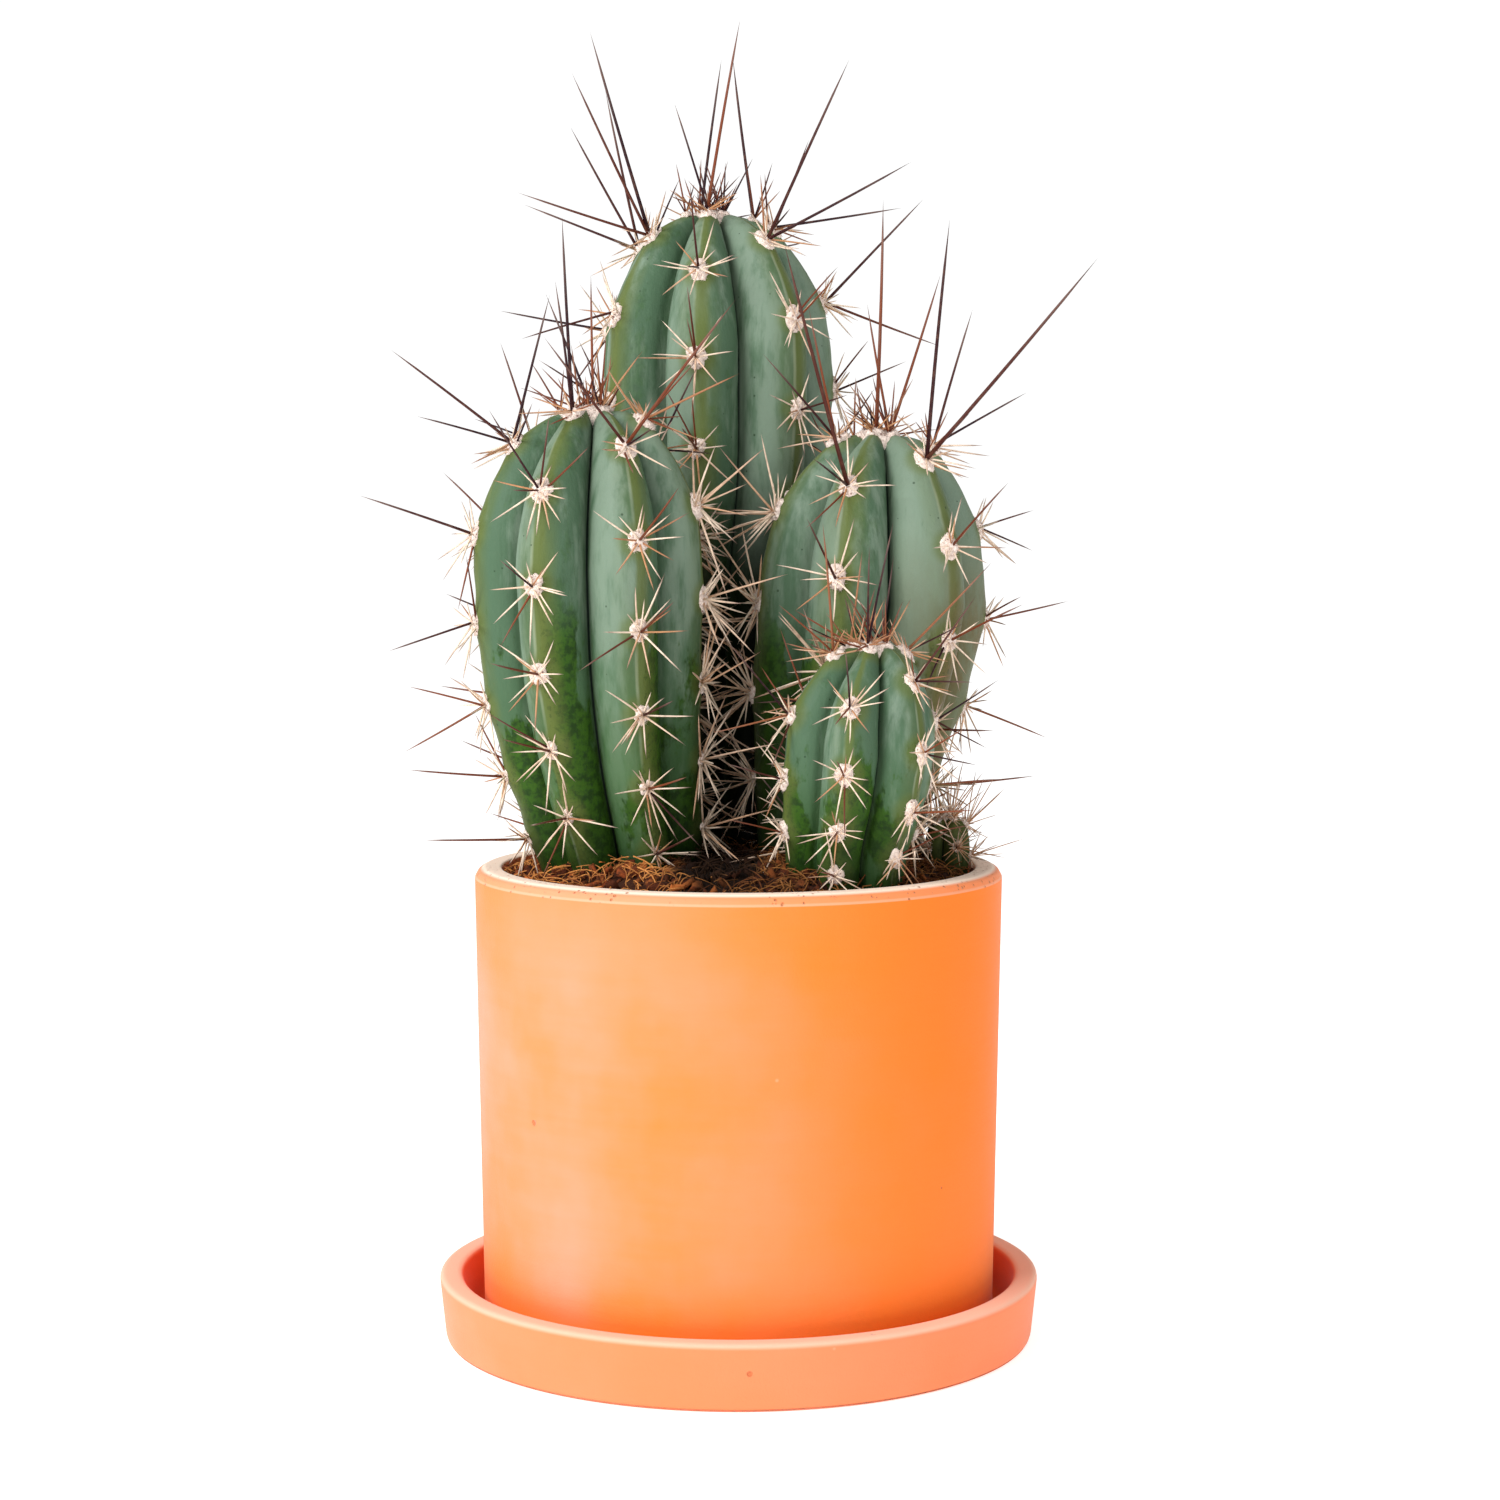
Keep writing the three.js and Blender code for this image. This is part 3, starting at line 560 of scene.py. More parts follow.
def crown_wool(stem):
    """The wool that fills the dip at the tip."""
    (x, y, z), _, _ = crown_row(stem, 90)
    up, out = np.array([0.0, 1.0, 0.0]), np.array([0.0, 0.0, 1.0])
    return {"at": np.array([x, y, z - 0.4 * stem["size"]]), "up": up, "out": out, "down": 0.0, "young": True}


def felt_size(areole):
    """The felt of the tip is broad, that of young areoles small, and that of the oldest ones worn away."""
    if areole["down"] == 0:
        return 1.9
    if areole["young"]:
        return 0.7 if areole["down"] < 6 else 0.5
    start, end = OLD_FELT
    return 1 - 0.42 * clamped((areole["down"] - start) / (end - start))


def cad_spines(node):
    """Root and tip of each spine of a node. A tip is a corner where just three long edges meet."""
    bulk = bmesh.new()
    bulk.from_mesh(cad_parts[node].data)
    bmesh.ops.remove_doubles(bulk, verts=bulk.verts, dist=1e-7)
    spines = []
    for vert in bulk.verts:
        if len(vert.link_edges) != 3:
            continue
        feet = [edge.other_vert(vert).co for edge in vert.link_edges]
        middle = (feet[0] + feet[1] + feet[2]) / 3
        width = max((feet[k] - feet[k - 1]).length for k in range(3))
        if (vert.co - middle).length > 1.3 * width:
            spines.append((np.array(middle) / MM, np.array(vert.co) / MM))
    bulk.free()
    return spines


def faces_clump(areole):
    """Areoles between the stems carry more and paler spines."""
    return np.hypot(*(areole["at"][:2] - CLUMP_MIDDLE)) < CLUMP_RADIUS and areole["at"][2] < CLUMP_TOP


def spoke(areole, angle, lift):
    """A direction across an areole at an angle, and the same lifted off the skin."""
    across = areole["side"] * math.cos(angle) + areole["up"] * math.sin(angle)
    return across, across * math.cos(lift) + areole["out"] * math.sin(lift)


def extra_spines(areole, node, draws):
    """Root and reach of the finer spines that an areole has beside those of the solid."""
    size, young, is_pup = STEMS[node]["size"], areole["young"], node == "pup"
    if faces_clump(areole) and not is_pup:
        for _ in range(CLUMP_RADIALS):
            across, direction = spoke(areole, draws.uniform(0, FULL_TURN), draws.uniform(0.0, 0.9))
            yield areole["at"] + across * 1.3 + areole["out"] * 0.7, direction * draws.uniform(9, 26)
    for k in range(0 if young else PUP_RADIALS if is_pup else FINE_RADIALS):
        across, direction = spoke(areole, draws.uniform(0, FULL_TURN), draws.uniform(0.1, 0.7))
        reach = draws.uniform(7, 13) if k < 2 else draws.uniform(11, 19)
        edge = areole["at"] + (across * 1.7 * felt_size(areole) + areole["out"] * 0.5) * size
        yield edge, direction * reach * size
    tuft = YOUNG_TUFT if young else PUP_TUFT if is_pup else 0
    for k in range(tuft):
        angle = FULL_TURN * (k + draws.uniform(-0.3, 0.3)) / tuft
        _, direction = spoke(areole, angle, draws.uniform(0.5, 1.35))
        direction += np.array([0, 0, 0.25 if young else 0.7])
        reach = direction / np.linalg.norm(direction) * draws.uniform(5, 20) * max(size, 0.8)
        yield areole["at"] + areole["out"] * 0.5, reach


def spine_tint(areole, node, reach, draws):
    """From 0, straw, to 1, near-black maroon. Long spines, and those that stand straight out, are central."""
    stem, size = STEMS[node], np.linalg.norm(reach)
    youth = clamped(1 - areole["down"] / 42)
    central = size > 16.5 * stem["size"] or np.dot(reach, areole["out"]) / size > 0.72
    tint = 0.84 + 0.16 * youth if central else 0.03 + 0.45 * youth**2
    if not central and draws.uniform(0, 1) < 0.14:
        tint += 0.28
    if central and draws.uniform(0, 1) < stem["rusty"]:
        tint -= 0.2 + 0.25 * youth
    tint = clamped(tint + draws.uniform(-0.14, 0.14))
    if areole["young"]:
        tint = draws.uniform(0.6 - stem["rusty"], 1.0)
    if faces_clump(areole) and size < LONG_SPINE:
        tint *= 0.24
    if node == "pup":
        tint = draws.uniform(0.1, 0.32)
    return tint


def dressed_spines(node, draws):
    """Root, reach, colour and weathering of every spine of a stem, in millimetres."""
    size = STEMS[node]["size"]
    areoles = areoles_of(STEMS[node])
    hubs = np.array([a["at"] + a["out"] * 1.3 * size for a in areoles])
    rows = []
    for root, tip in cad_spines(node):
        nearest = int(np.argmin(np.linalg.norm(hubs - root, axis=1)))
        rows.append((root, tip - root, areoles[nearest]))
    for areole in areoles:
        rows.extend((root, reach, areole) for root, reach in extra_spines(areole, node, draws))
    spines = []
    for root, reach, areole in rows:
        tint = spine_tint(areole, node, reach, draws)
        sunk = reach / np.linalg.norm(reach) * ROOT_DEPTH * size
        spines.append((root - sunk, reach + sunk, tint, draws.uniform(0.2, 0.9)))
    return spines


# Geometry Nodes trees of the plant


def ribbed_stem_tree():
    """A ribbed column on a row of stations, swollen a little under each felt button."""
    sockets = {"Ribs": 7, "Facing": 0.0, "Groove": 0.67, "Columns per Rib": 18, "Buttons": "Object"}
    sockets |= {"Swelling": 0.0007, "Swelling Width": 0.0085, "Waviness": 0.0003}
    sockets |= {"Wax": 1.0, "Crease": 0.0012, "Worn Below": 0.2}
    t = Growth("Ribbed stem", sockets)
    given = t.given
    stations = given["Geometry"]
    rows = t.add("GeometryNodeAttributeDomainSize", {0: stations}, component="MESH").outputs["Point Count"]
    columns = t.times(given["Ribs"], given["Columns per Rib"])
    sheet = t.add("GeometryNodeMeshGrid", {0: 1, 1: 1, 2: t.plus(columns, 1), 3: rows}).outputs[0]
    across, upward, _ = t.split(t.position)
    turn = t.plus(across, 0.5)
    row = t.math("ROUND", t.times(t.plus(upward, 0.5), t.minus(rows, 1)))
    wave = t.times(turn, given["Ribs"], math.pi)
    sheet = t.store(sheet, "rib_share", t.math("POWER", t.math("ABSOLUTE", t.math("COSINE", wave)), 0.65))
    sheet = t.store(sheet, "rib_flank", t.math("SINE", t.times(wave, 2)))
    middle = t.sample(stations, t.position, row, "FLOAT_VECTOR")
    radius = t.sample(stations, t.attribute("crest_radius"), row)
    lift = t.sample(stations, t.attribute("crest_lift"), row)
    share = t.attribute("rib_share")
    reach = t.times(radius, t.linear(t.minus(1, given["Groove"]), share, given["Groove"]))
    crease = t.times(t.ease(share, 0.0, 0.16, 1.0, 0.0), t.ease(radius, 0.001, 0.012, 0.0, given["Crease"]))
    reach = t.minus(reach, crease)
    bearing = t.linear(turn, FULL_TURN, given["Facing"])
    arm_x = t.times(reach, t.math("SINE", bearing))
    arm_y = t.times(reach, t.math("COSINE", bearing), -1)
    column = t.moved(sheet, Position=t.vector("ADD", middle, t.joined(arm_x, arm_y, t.times(lift, share))))
    column = t.add("GeometryNodeMergeByDistance", {"Geometry": column, "Distance": 2e-6}).outputs[0]
    buttons = t.add("GeometryNodeObjectInfo", {0: given["Buttons"]}).outputs["Geometry"]
    near = t.add("GeometryNodeProximity", {0: buttons}, target_element="POINTS")
    column = t.store(column, "button_gap", near.outputs["Distance"])
    column = t.store(column, "wax", given["Wax"])
    column = t.store(column, "wear", t.ease(t.split(t.position)[2], 0.118, given["Worn Below"], 1.0, 0.0))
    swell = t.ease(t.attribute("button_gap"), 0, given["Swelling Width"], given["Swelling"], 0)
    ripple = t.minus(t.noise(t.position, 95, 2.5), 0.5)
    unevenness = t.times(ripple, t.times(given["Waviness"], 2))
    return t.finish(t.moved(column, Offset=t.scaled(t.normal, t.plus(swell, unevenness))))


def spines_tree():
    """A straight, tapered spine on each point, along its reach."""
    t = Growth("Spines", {"Sides": 5, "Belly": 0.5})
    cone = t.cone(t.given["Sides"], 5, 1.0)
    x, y, z = t.split(t.position)
    rest = t.minus(1.0, z)
    taper = t.math("POWER", t.math("MAXIMUM", rest, 0.0), 0.28)
    bulb = t.ease(z, 0.0, 0.2, 1.12, 1.0)
    cone = t.store(cone, "along", z)
    slope = t.math("DIVIDE", t.times(taper, bulb), t.math("MAXIMUM", rest, 0.02))
    bend = t.times(z, rest, 4.0, t.given["Belly"])
    cone = t.moved(cone, Position=t.joined(t.linear(x, slope, bend), t.times(y, slope), z))
    reach = t.attribute("reach", "FLOAT_VECTOR")
    rolled = {"Axis": (0, 0, 1), "Angle": t.chance(0, ANY_TURN, 3)}
    roll = t.add("FunctionNodeAxisAngleToRotation", rolled).outputs[0]
    aim = {0: t.aimed(reach), 1: roll}
    rotation = t.add("FunctionNodeRotateRotation", aim, rotation_space="LOCAL").outputs[0]
    radius = t.attribute("radius")
    scale = t.joined(radius, radius, t.vector("LENGTH", reach))
    return t.finish(t.spread(t.given["Geometry"], cone, rotation, scale))


def felt_tree():
    """A lumpy woollen button with short hairs on each point."""
    sockets = {"Radius": 0.0031, "Height": 0.0018, "Hair": 0.0008, "Hair Density": 1.4e6, "Seed": 4}
    t = Growth("Felt buttons", sockets)
    height = t.given["Height"]
    ball = t.add("GeometryNodeMeshIcoSphere", {"Radius": 1.0, "Subdivisions": 3}).outputs[0]
    ball = t.store(ball, "felt_height", t.split(t.position)[2])
    size = t.attribute("size")
    rotation = t.aimed(t.attribute("out", "FLOAT_VECTOR"))
    rotation = t.aimed(t.attribute("up", "FLOAT_VECTOR"), "Y", rotation, "Z")
    across = t.times(size, t.given["Radius"])
    scale = t.joined(across, t.times(across, 1.3), t.times(size, height))
    pads = t.spread(t.given["Geometry"], ball, rotation, scale)
    lumps = t.minus(t.noise(t.position, 520, 3, 0.6), 0.5)
    pads = t.moved(pads, Offset=t.scaled(t.normal, t.times(lumps, t.times(height, 2.2))))
    showing = t.math("GREATER_THAN", t.attribute("felt_height"), -0.05)
    points = t.scattered(pads, showing, t.given["Hair Density"], t.given["Seed"])
    lean = t.vector("ADD", points["Normal"], t.chance((-1.3,) * 3, (1.3,) * 3, 5))
    long = t.times(t.given["Hair"], t.chance(0.5, 1.4, 6))
    wool = t.spread(points["Points"], t.cone(3, 1, 0.07), t.aimed(lean), t.joined(long, long, long))
    return t.finish(t.together(pads, wool))


def potting_mix_tree():
    """Crumbs, bark chips and coir fibres strewn over the heap."""
    t = Growth("Potting mix", {"Chips": 42000.0, "Fibres": 60000.0, "Strewn Radius": 0.0614, "Seed": 8})
    heap = t.given["Geometry"]
    x, y, _ = t.split(t.position)
    outward = t.math("SQRT", t.plus(t.times(x, x), t.times(y, y)))
    upward = t.math("GREATER_THAN", t.split(t.normal)[2], 0.4)
    strewn = t.times(upward, t.math("LESS_THAN", outward, t.given["Strewn Radius"]))
    heap = t.store(heap, "bit", 0.0)
    rough = t.minus(t.noise(t.position, 260, 4, 0.6), 0.45)
    heap = t.moved(heap, Offset=t.joined(0.0, 0.0, t.times(rough, strewn, 0.004)))

    def strewing(density, step, instance, kind, low, high, tilt):
        """Bits of one kind, turned and sized at random. step keeps the draws of the kinds apart."""
        points = t.scattered(heap, strewn, density, t.plus(t.given["Seed"], step))["Points"]
        turn = t.chance((-tilt, -tilt, 0.0), (tilt, tilt, ANY_TURN), step)
        rotation = t.add("FunctionNodeEulerToRotation", {0: turn}).outputs[0]
        scale = t.chance((low,) * 3, (high,) * 3, step + 1)
        points = t.store(points, "tone", t.chance(0.0, 1.0, step + 2))
        return t.store(t.spread(points, instance, rotation, scale), "bit", kind)

    sizes = {"Size": (1.0, 0.55, 0.24), "Vertices X": 3, "Vertices Y": 2, "Vertices Z": 2}
    block = t.add("GeometryNodeMeshCube", sizes).outputs[0]
    bent = t.times(x, x, 0.5)
    chip = t.moved(block, Offset=t.joined(0.0, t.times(bent, 0.6), bent))
    crumb = t.add("GeometryNodeMeshIcoSphere", {"Radius": 0.5, "Subdivisions": 1}).outputs[0]
    ends = {"Resolution": 6, "Start": (-0.5, 0, 0), "Middle": (0.05, 0.55, 0.4), "End": (0.5, 0, 0.05)}
    line = t.add("GeometryNodeCurveQuadraticBezier", ends).outputs[0]
    section = {"Resolution": 3, "Radius": 0.02}
    ring = t.add("GeometryNodeCurvePrimitiveCircle", section, mode="RADIUS").outputs[0]
    sweep = {"Curve": line, "Profile Curve": ring, "Fill Caps": True}
    strand = t.add("GeometryNodeCurveToMesh", sweep).outputs[0]
    chips = strewing(t.given["Chips"], 10, chip, 1.0, 0.0025, 0.0065, 0.9)
    crumbs = strewing(t.times(t.given["Chips"], 2.2), 20, crumb, 0.5, 0.0012, 0.003, 3.0)
    fibres = strewing(t.given["Fibres"], 30, strand, 2.0, 0.004, 0.012, 1.0)
    loose = t.together(chips, crumbs)
    ragged = t.add("ShaderNodeTexNoise", {"Vector": t.position, "Scale": 800, "Detail": 2}).outputs[1]
    loose = t.moved(loose, Offset=t.scaled(t.vector("SUBTRACT", ragged, (0.5, 0.5, 0.5)), 0.0016))
    return t.finish(t.together(heap, loose, fibres))


# Materials


class Finish(Nodes):
    """A material's tree, with its surface shader, its coordinates and the shade laid so far."""

    def __init__(self, name, roughness, specular, shade=None):
        self.material = bpy.data.materials.new(name)
        self.material.use_nodes = True
        super().__init__(self.material.node_tree)
        self.surface = self.tree.nodes["Principled BSDF"]
        self.set("Roughness", roughness)
        self.set("Specular IOR Level", specular)
        self.place = self.add("ShaderNodeTexCoord").outputs["Object"]
        self.shade = shade

    def set(self, name, value):
        self.put(self.surface.inputs[name], value)

    def attributes(self, *names):
        return [self.add("ShaderNodeAttribute", attribute_name=name).outputs["Fac"] for name in names]

    def fired_clay(self, settings, bloom_and_highlight, pits):
        """Starts the shade from fired clay, adds its fine dust, and returns its relief."""
        # the bloom amount is salt bloom, and on the pot and saucer also a painted highlight on their left
        # side
        inputs = {"Vector": self.place, "Clay": settings.clay, "Bloom": settings.bloom}
        clay = self.shared("Fired clay", {**inputs, "Bloom And Painted Highlight": bloom_and_highlight, "Pits": pits})
        self.shade = clay["Color"]
        self.set("Sheen Weight", 0.26)
        self.set("Sheen Roughness", 0.3)
        return clay["Height"]

    def coat(self, shade, mask, *shares):
        """Lays another shade over the shade so far, by a mask."""
        self.shade = self.mix(self.times(mask, *shares), self.shade, shade)

    def done(self, relief, depth, strength=1.0):
        self.set("Base Color", self.shade)
        bump = self.add("ShaderNodeBump", {"Strength": strength, "Distance": depth, "Height": relief})
        self.set("Normal", bump.outputs[0])
        return self.material


class Effect(Nodes):
    """A shader node group that several materials use."""

    def __init__(self, name, sockets, results):
        super().__init__(bpy.data.node_groups.new(name, "ShaderNodeTree"))
        group_inputs(self.tree, sockets)
        for result, kind in results.items():
            self.tree.interface.new_socket(result, in_out="OUTPUT", socket_type="NodeSocket" + kind)
        self.given = self.add("NodeGroupInput").outputs
        self.out = self.add("NodeGroupOutput").inputs


def specks_effect():
    """Small round specks of several sizes, as a mask."""
    e = Effect("Specks", {"Vector": "Vector", "Scale": 400.0, "Share": 0.1, "Size": 0.3}, {"Mask": "Float"})
    cells = e.add("ShaderNodeTexVoronoi", {"Vector": e.given["Vector"], "Scale": e.given["Scale"]}).outputs
    luck = e.split(cells["Color"])
    chosen = e.math("LESS_THAN", luck[0], e.given["Share"])
    radius = e.times(e.given["Size"], e.linear(luck[1], 0.7, 0.3))
    disc = e.ease(cells["Distance"], e.times(radius, 0.5), radius, 1.0, 0.0)
    e.put(e.out["Mask"], e.times(disc, chosen))
    return e.tree


def fired_clay_effect():
    """Terracotta: clay that is paler where salts have come through, wiped in rings, with grit and pits."""
    sockets = {"Vector": "Vector", "Clay": (0.8, 0.3, 0.1), "Bloom": (0.9, 0.5, 0.3)}
    e = Effect(
        "Fired clay", {**sockets, "Bloom And Painted Highlight": 0.5, "Pits": 0.06}, {"Color": "Color", "Height": "Float"}
    )
    place = e.given["Vector"]
    cloud = e.ease(e.noise(place, 16, 4, 0.55), 0.3, 0.72)
    rings = e.noise(e.vector("MULTIPLY", place, (0.25, 0.25, 2.4)), 90, 3, 0.6)
    streaks = e.noise(e.vector("MULTIPLY", place, (1.4, 1.4, 0.35)), 40, 3, 0.6)
    veil = e.linear(rings, 0.22, e.linear(streaks, 0.3, e.times(cloud, 0.55)))
    body = e.mix(e.times(veil, e.given["Bloom And Painted Highlight"]), e.given["Clay"], e.given["Bloom"])
    pits = e.specks(place, 330.0, e.given["Pits"], 0.32)
    grit = e.specks(place, 210.0, 0.008, 0.26)
    body = e.mix(e.times(pits, 0.5), body, "clay pit")
    e.put(e.out["Color"], e.mix(e.times(grit, 0.45), body, "clay grit"))
    height = e.linear(e.noise(place, 1500, 3, 0.65), 0.25, e.times(rings, 0.35))
    e.put(e.out["Height"], e.minus(height, e.times(pits, 0.9)))
    return e.tree


EFFECTS = {"Specks": specks_effect, "Fired clay": fired_clay_effect}


def saucer_finish(settings):
    """Pinkish terracotta, paler on its left by a painted highlight, with a pale lip and painted shade inside.
    """
    f = Finish("saucer_clay", 0.85, 0.1)
    across, along, height = f.split(f.place)
    # paler on the left: a painted highlight of the light from the left, laid as salt bloom
    relief = f.fired_clay(settings, f.ease(across, -0.082, -0.05, 1.0, 0.25), 0.02)
    radius = f.math("SQRT", f.plus(f.times(across, across), f.times(along, along)))
    wall = f.ease(radius, settings.lip_inner_radius - 0.0004, settings.lip_inner_radius + 0.0006)
    f.coat("saucer lip", wall, f.ease(height, settings.height - 0.0016, settings.height - 0.0004), 0.7)
    # deeper red-orange on the inside wall: painted shade
    above_floor = f.ease(height, settings.floor * 0.7, settings.floor * 0.9)
    f.coat("painted saucer shade", f.minus(1.0, wall), above_floor, 0.85)
    return f.done(relief, 0.0004)


def pot_finish(settings):
    """Terracotta with salt bloom, paler on its left by a painted highlight, a stronger orange near its foot
    by painted bounce light from the saucer, laid as damp clay, and dusty along its rim.
    """
    f = Finish("pot_clay", 0.85, 0.1)
    across, _, height = f.split(f.place)
    # paler on the left: a painted highlight of the light from the left, laid as salt bloom
    bloom_and_highlight = f.times(f.ease(across, -0.05, 0.05, 1.0, 0.12), f.ease(height, 0.094, 0.121, 1.0, 0.6))
    relief = f.fired_clay(settings, bloom_and_highlight, 0.006)
    # stronger orange towards the foot: painted bounce light from the saucer, laid as damp clay
    uneven = f.linear(f.noise(f.place, 30, 2), 0.012, height)
    f.coat(settings.damp, f.ease(uneven, 0.010, 0.038, 1.0, 0.0))
    below_rim = f.minus(settings.rim_top, height)
    edge = f.ease(below_rim, settings.rim_edge, settings.rim_edge * 1.08, 1.0, 0.0)
    f.coat(settings.dust, edge, 0.2)
    bead = f.ease(below_rim, settings.rim_edge * 0.78, settings.rim_edge * 0.86)
    f.coat(settings.dust, edge, bead, 0.3)
    f.coat("rim top", f.ease(below_rim, 0.0002, 0.0008, 0.9, 0.0))
    pitted = f.times(f.specks(f.place, 760.0, 0.55, 0.4), edge, f.ease(f.noise(f.place, 60, 2), 0.36, 0.52))
    f.coat("rim pit", pitted, 0.75)
    return f.done(f.minus(relief, pitted), 0.0004)


def skin_finish(settings):
    """Waxy skin: glaucous flanks with painted light, paler on each rib's left flank, olive crests with a
    painted highlight, vivid green where the wax has worn, and painted shade in the grooves and between the
    stems.
    """
    f = Finish("waxy_skin", 0.46, 0.09)
    place = f.place
    share, side, gap, wax, lowness = f.attributes("rib_share", "rib_flank", "button_gap", "wax", "wear")
    x, y, height = f.split(place)
    drawn = f.vector("MULTIPLY", place, (1.0, 1.0, 0.2))
    streak = f.noise(drawn, 300, 4, 0.6)
    cloud = f.noise(f.vector("MULTIPLY", place, (1.0, 1.0, 0.5)), 60, 4, 0.55)
    pores = f.noise(place, 900, 2, 0.6)
    from_clump = f.vector("LENGTH", f.vector("SUBTRACT", f.joined(x, y, 0.0), (0.005, 0.004, 0.0)))
    # painted shade low down where the stems crowd each other
    painted_crowd_shade = f.times(f.ease(from_clump, 0.024, 0.044, 1.0, 0.0), f.ease(lowness, 0.0, 0.25))

    # wax, thinner in streaks and low down; painted light leaves each rib's left flank paler and its right
    # flank darker, and painted shade darkens it where the stems crowd each other
    wiped = f.linear(side, 0.09, f.linear(streak, 0.5, f.times(cloud, 0.5)))
    wiped = f.linear(wax, -0.2, f.plus(wiped, 0.2))
    wiped = f.linear(lowness, 0.08, f.linear(painted_crowd_shade, 0.14, wiped))
    f.shade = f.mix(f.ease(wiped, 0.4, 0.6, 0.08, 0.95), settings.bloom, settings.flesh)
    # vivid green low down, held back on the far left as a painted highlight
    f.coat("fresh skin", f.ease(lowness, 0.0, 0.8, 0.0, 0.7), f.ease(x, -0.064, -0.046, 0.5, 1.0))

    # worn patches low down; as painted shade, more of them on right flanks, right of each crest and between
    # the stems, and fewer on the lit far left
    patch = f.noise(f.vector("MULTIPLY_ADD", place, (1.0, 1.0, 0.5), (0.13, 0.07, 0.04)), 85, 5, 0.65)
    # painted shade on the right of each crest
    beside = f.times(f.ease(side, -0.1, 0.35), f.ease(share, 0.4, 0.75))
    bias = f.linear(lowness, f.linear(side, 0.17, 0.21), f.times(beside, 0.12))
    bias = f.plus(f.linear(painted_crowd_shade, 0.16, bias), f.ease(height, 0.134, 0.158, 0.09, 0.0))
    bias = f.linear(lowness, f.ease(share, 0.5, 0.78, 0.0, 0.1), bias)
    bias = f.times(bias, f.ease(x, -0.066, -0.047, 0.25, 1.0))
    worn = f.times(f.ease(f.plus(patch, bias), 0.63, 0.71), f.ease(lowness, 0.0, 0.2, 0.3, 1.0))
    blotched = f.mix(f.ease(f.noise(place, 420, 3, 0.6), 0.42, 0.62), settings.worn, "bruise")
    f.coat(blotched, worn, 0.92)

    # the crest: an olive wash and strip, with a painted highlight as a thin pale edge on its left
    across = f.plus(side, f.linear(f.noise(drawn, 210, 3), 0.6, -0.3))
    top = f.ease(share, 0.72, 0.92)
    wash = f.times(f.ease(share, 0.78, 0.98), f.ease(side, -0.2, 0.3, 0.45, 1.0), f.ease(cloud, 0.3, 0.6))
    f.coat(settings.crest, wash, 0.6)
    f.coat(settings.crest, f.ease(across, -0.25, 0.0), f.ease(across, 0.3, 0.8, 1.0, 0.0), top, 0.75)
    # the crest's pale left edge is a painted highlight
    edge = f.times(f.ease(side, -0.34, -0.2), f.ease(side, -0.16, 0.0, 1.0, 0.0))
    f.coat("painted crest highlight", edge, top, f.ease(cloud, 0.42, 0.6), 0.4)

    # tan low on the clump's right, a halo round each button, mottles, dots and scars
    tanned = f.times(f.ease(x, 0.034, 0.05), f.ease(y, -0.02, -0.008), f.ease(height, 0.18, 0.222, 1.0, 0.0))
    f.coat("tanned skin", tanned, f.ease(patch, 0.35, 0.6, 0.45, 0.92))
    f.coat(settings.crest, f.ease(gap, 0.0033, 0.0062, 0.6, 0.0))
    f.coat("mottle", f.ease(pores, 0.54, 0.64), worn, 0.35)
    f.coat("dot", f.specks(place, 480.0, 0.07, 0.24), 0.65)
    f.coat("scar", f.specks(place, 105.0, 0.04, 0.12), 0.8)

    # darker near the soil, partly stain and partly painted shade; painted shade deep in the clump, in the gap
    # between the stems, in the furrows and in the grooves
    # dark near the soil: stain, and painted shade at the stems' feet
    f.coat("stained and shaded foot", f.ease(f.linear(patch, -0.03, height), 0.106, 0.134, 0.75, 0.0))
    # painted shade low down between the stems
    painted_shade_inward = f.ease(from_clump, 0.018, 0.034, 1.0, 0.0)
    f.coat("painted clump shade", painted_shade_inward, f.ease(height, 0.135, 0.205, 1.0, 0.0), 0.85)
    # painted shade deep in the gap between the stems, towards the back
    from_gap = f.vector("LENGTH", f.vector("SUBTRACT", f.joined(x, y, 0.0), (0.004, 0.028, 0.0)))
    painted_shade_inward = f.ease(from_gap, 0.013, 0.023, 1.0, 0.0)
    f.coat("painted gap shade", painted_shade_inward, f.ease(height, 0.188, 0.232, 1.0, 0.0), 0.93)
    # painted shade in the furrow beside each groove
    f.coat("painted furrow shade", f.ease(share, 0.1, 0.55, 1.0, 0.0), 0.42)
    # painted shade: a dark line along each groove's crease
    f.coat("groove", f.ease(share, 0.03, 0.13, 1.0, 0.0), 0.96)
    return f.done(f.linear(pores, 0.3, f.times(streak, 0.7)), 0.0006, 0.6)


def felt_finish(settings):
    """Wool with brownish blotches and stained specks."""
    f = Finish("areole_felt", 0.95, 0.15, settings.wool)
    f.coat("felt blotch", f.ease(f.noise(f.place, 1300, 3, 0.6), 0.48, 0.66), 0.45)
    f.coat(settings.stain, f.specks(f.place, 720.0, 0.62, 0.4), 0.85)
    f.set("Sheen Weight", 0.25)
    return f.done(f.noise(f.place, 1600, 3, 0.7), 0.0005)


def spine_finish(settings):
    """Spines from straw through rust to near-black maroon, ashen towards their weathered tips."""
    f = Finish("spine_horn", 0.5, 0.18, settings.straw)
    tint, along, weather = f.attributes("tint", "along", "weathering")
    f.coat(settings.amber, f.ease(tint, 0.05, 0.3))
    f.coat(settings.rust, f.ease(tint, 0.3, 0.6))
    f.coat(settings.maroon, f.ease(tint, 0.6, 0.95))
    f.coat(settings.ash, f.ease(along, 0.45, 1.0), weather)
    f.coat("spine root", f.ease(along, 0.0, 0.16, 0.6, 0.0), f.ease(tint, 0.2, 0.6, 1.0, 0.0))
    f.coat("spine streak", f.ease(f.noise(f.place, 480, 3, 0.6), 0.45, 0.75, 0.0, 0.4))
    return f.done(f.noise(f.place, 2200, 2), 0.0001, 0.5)


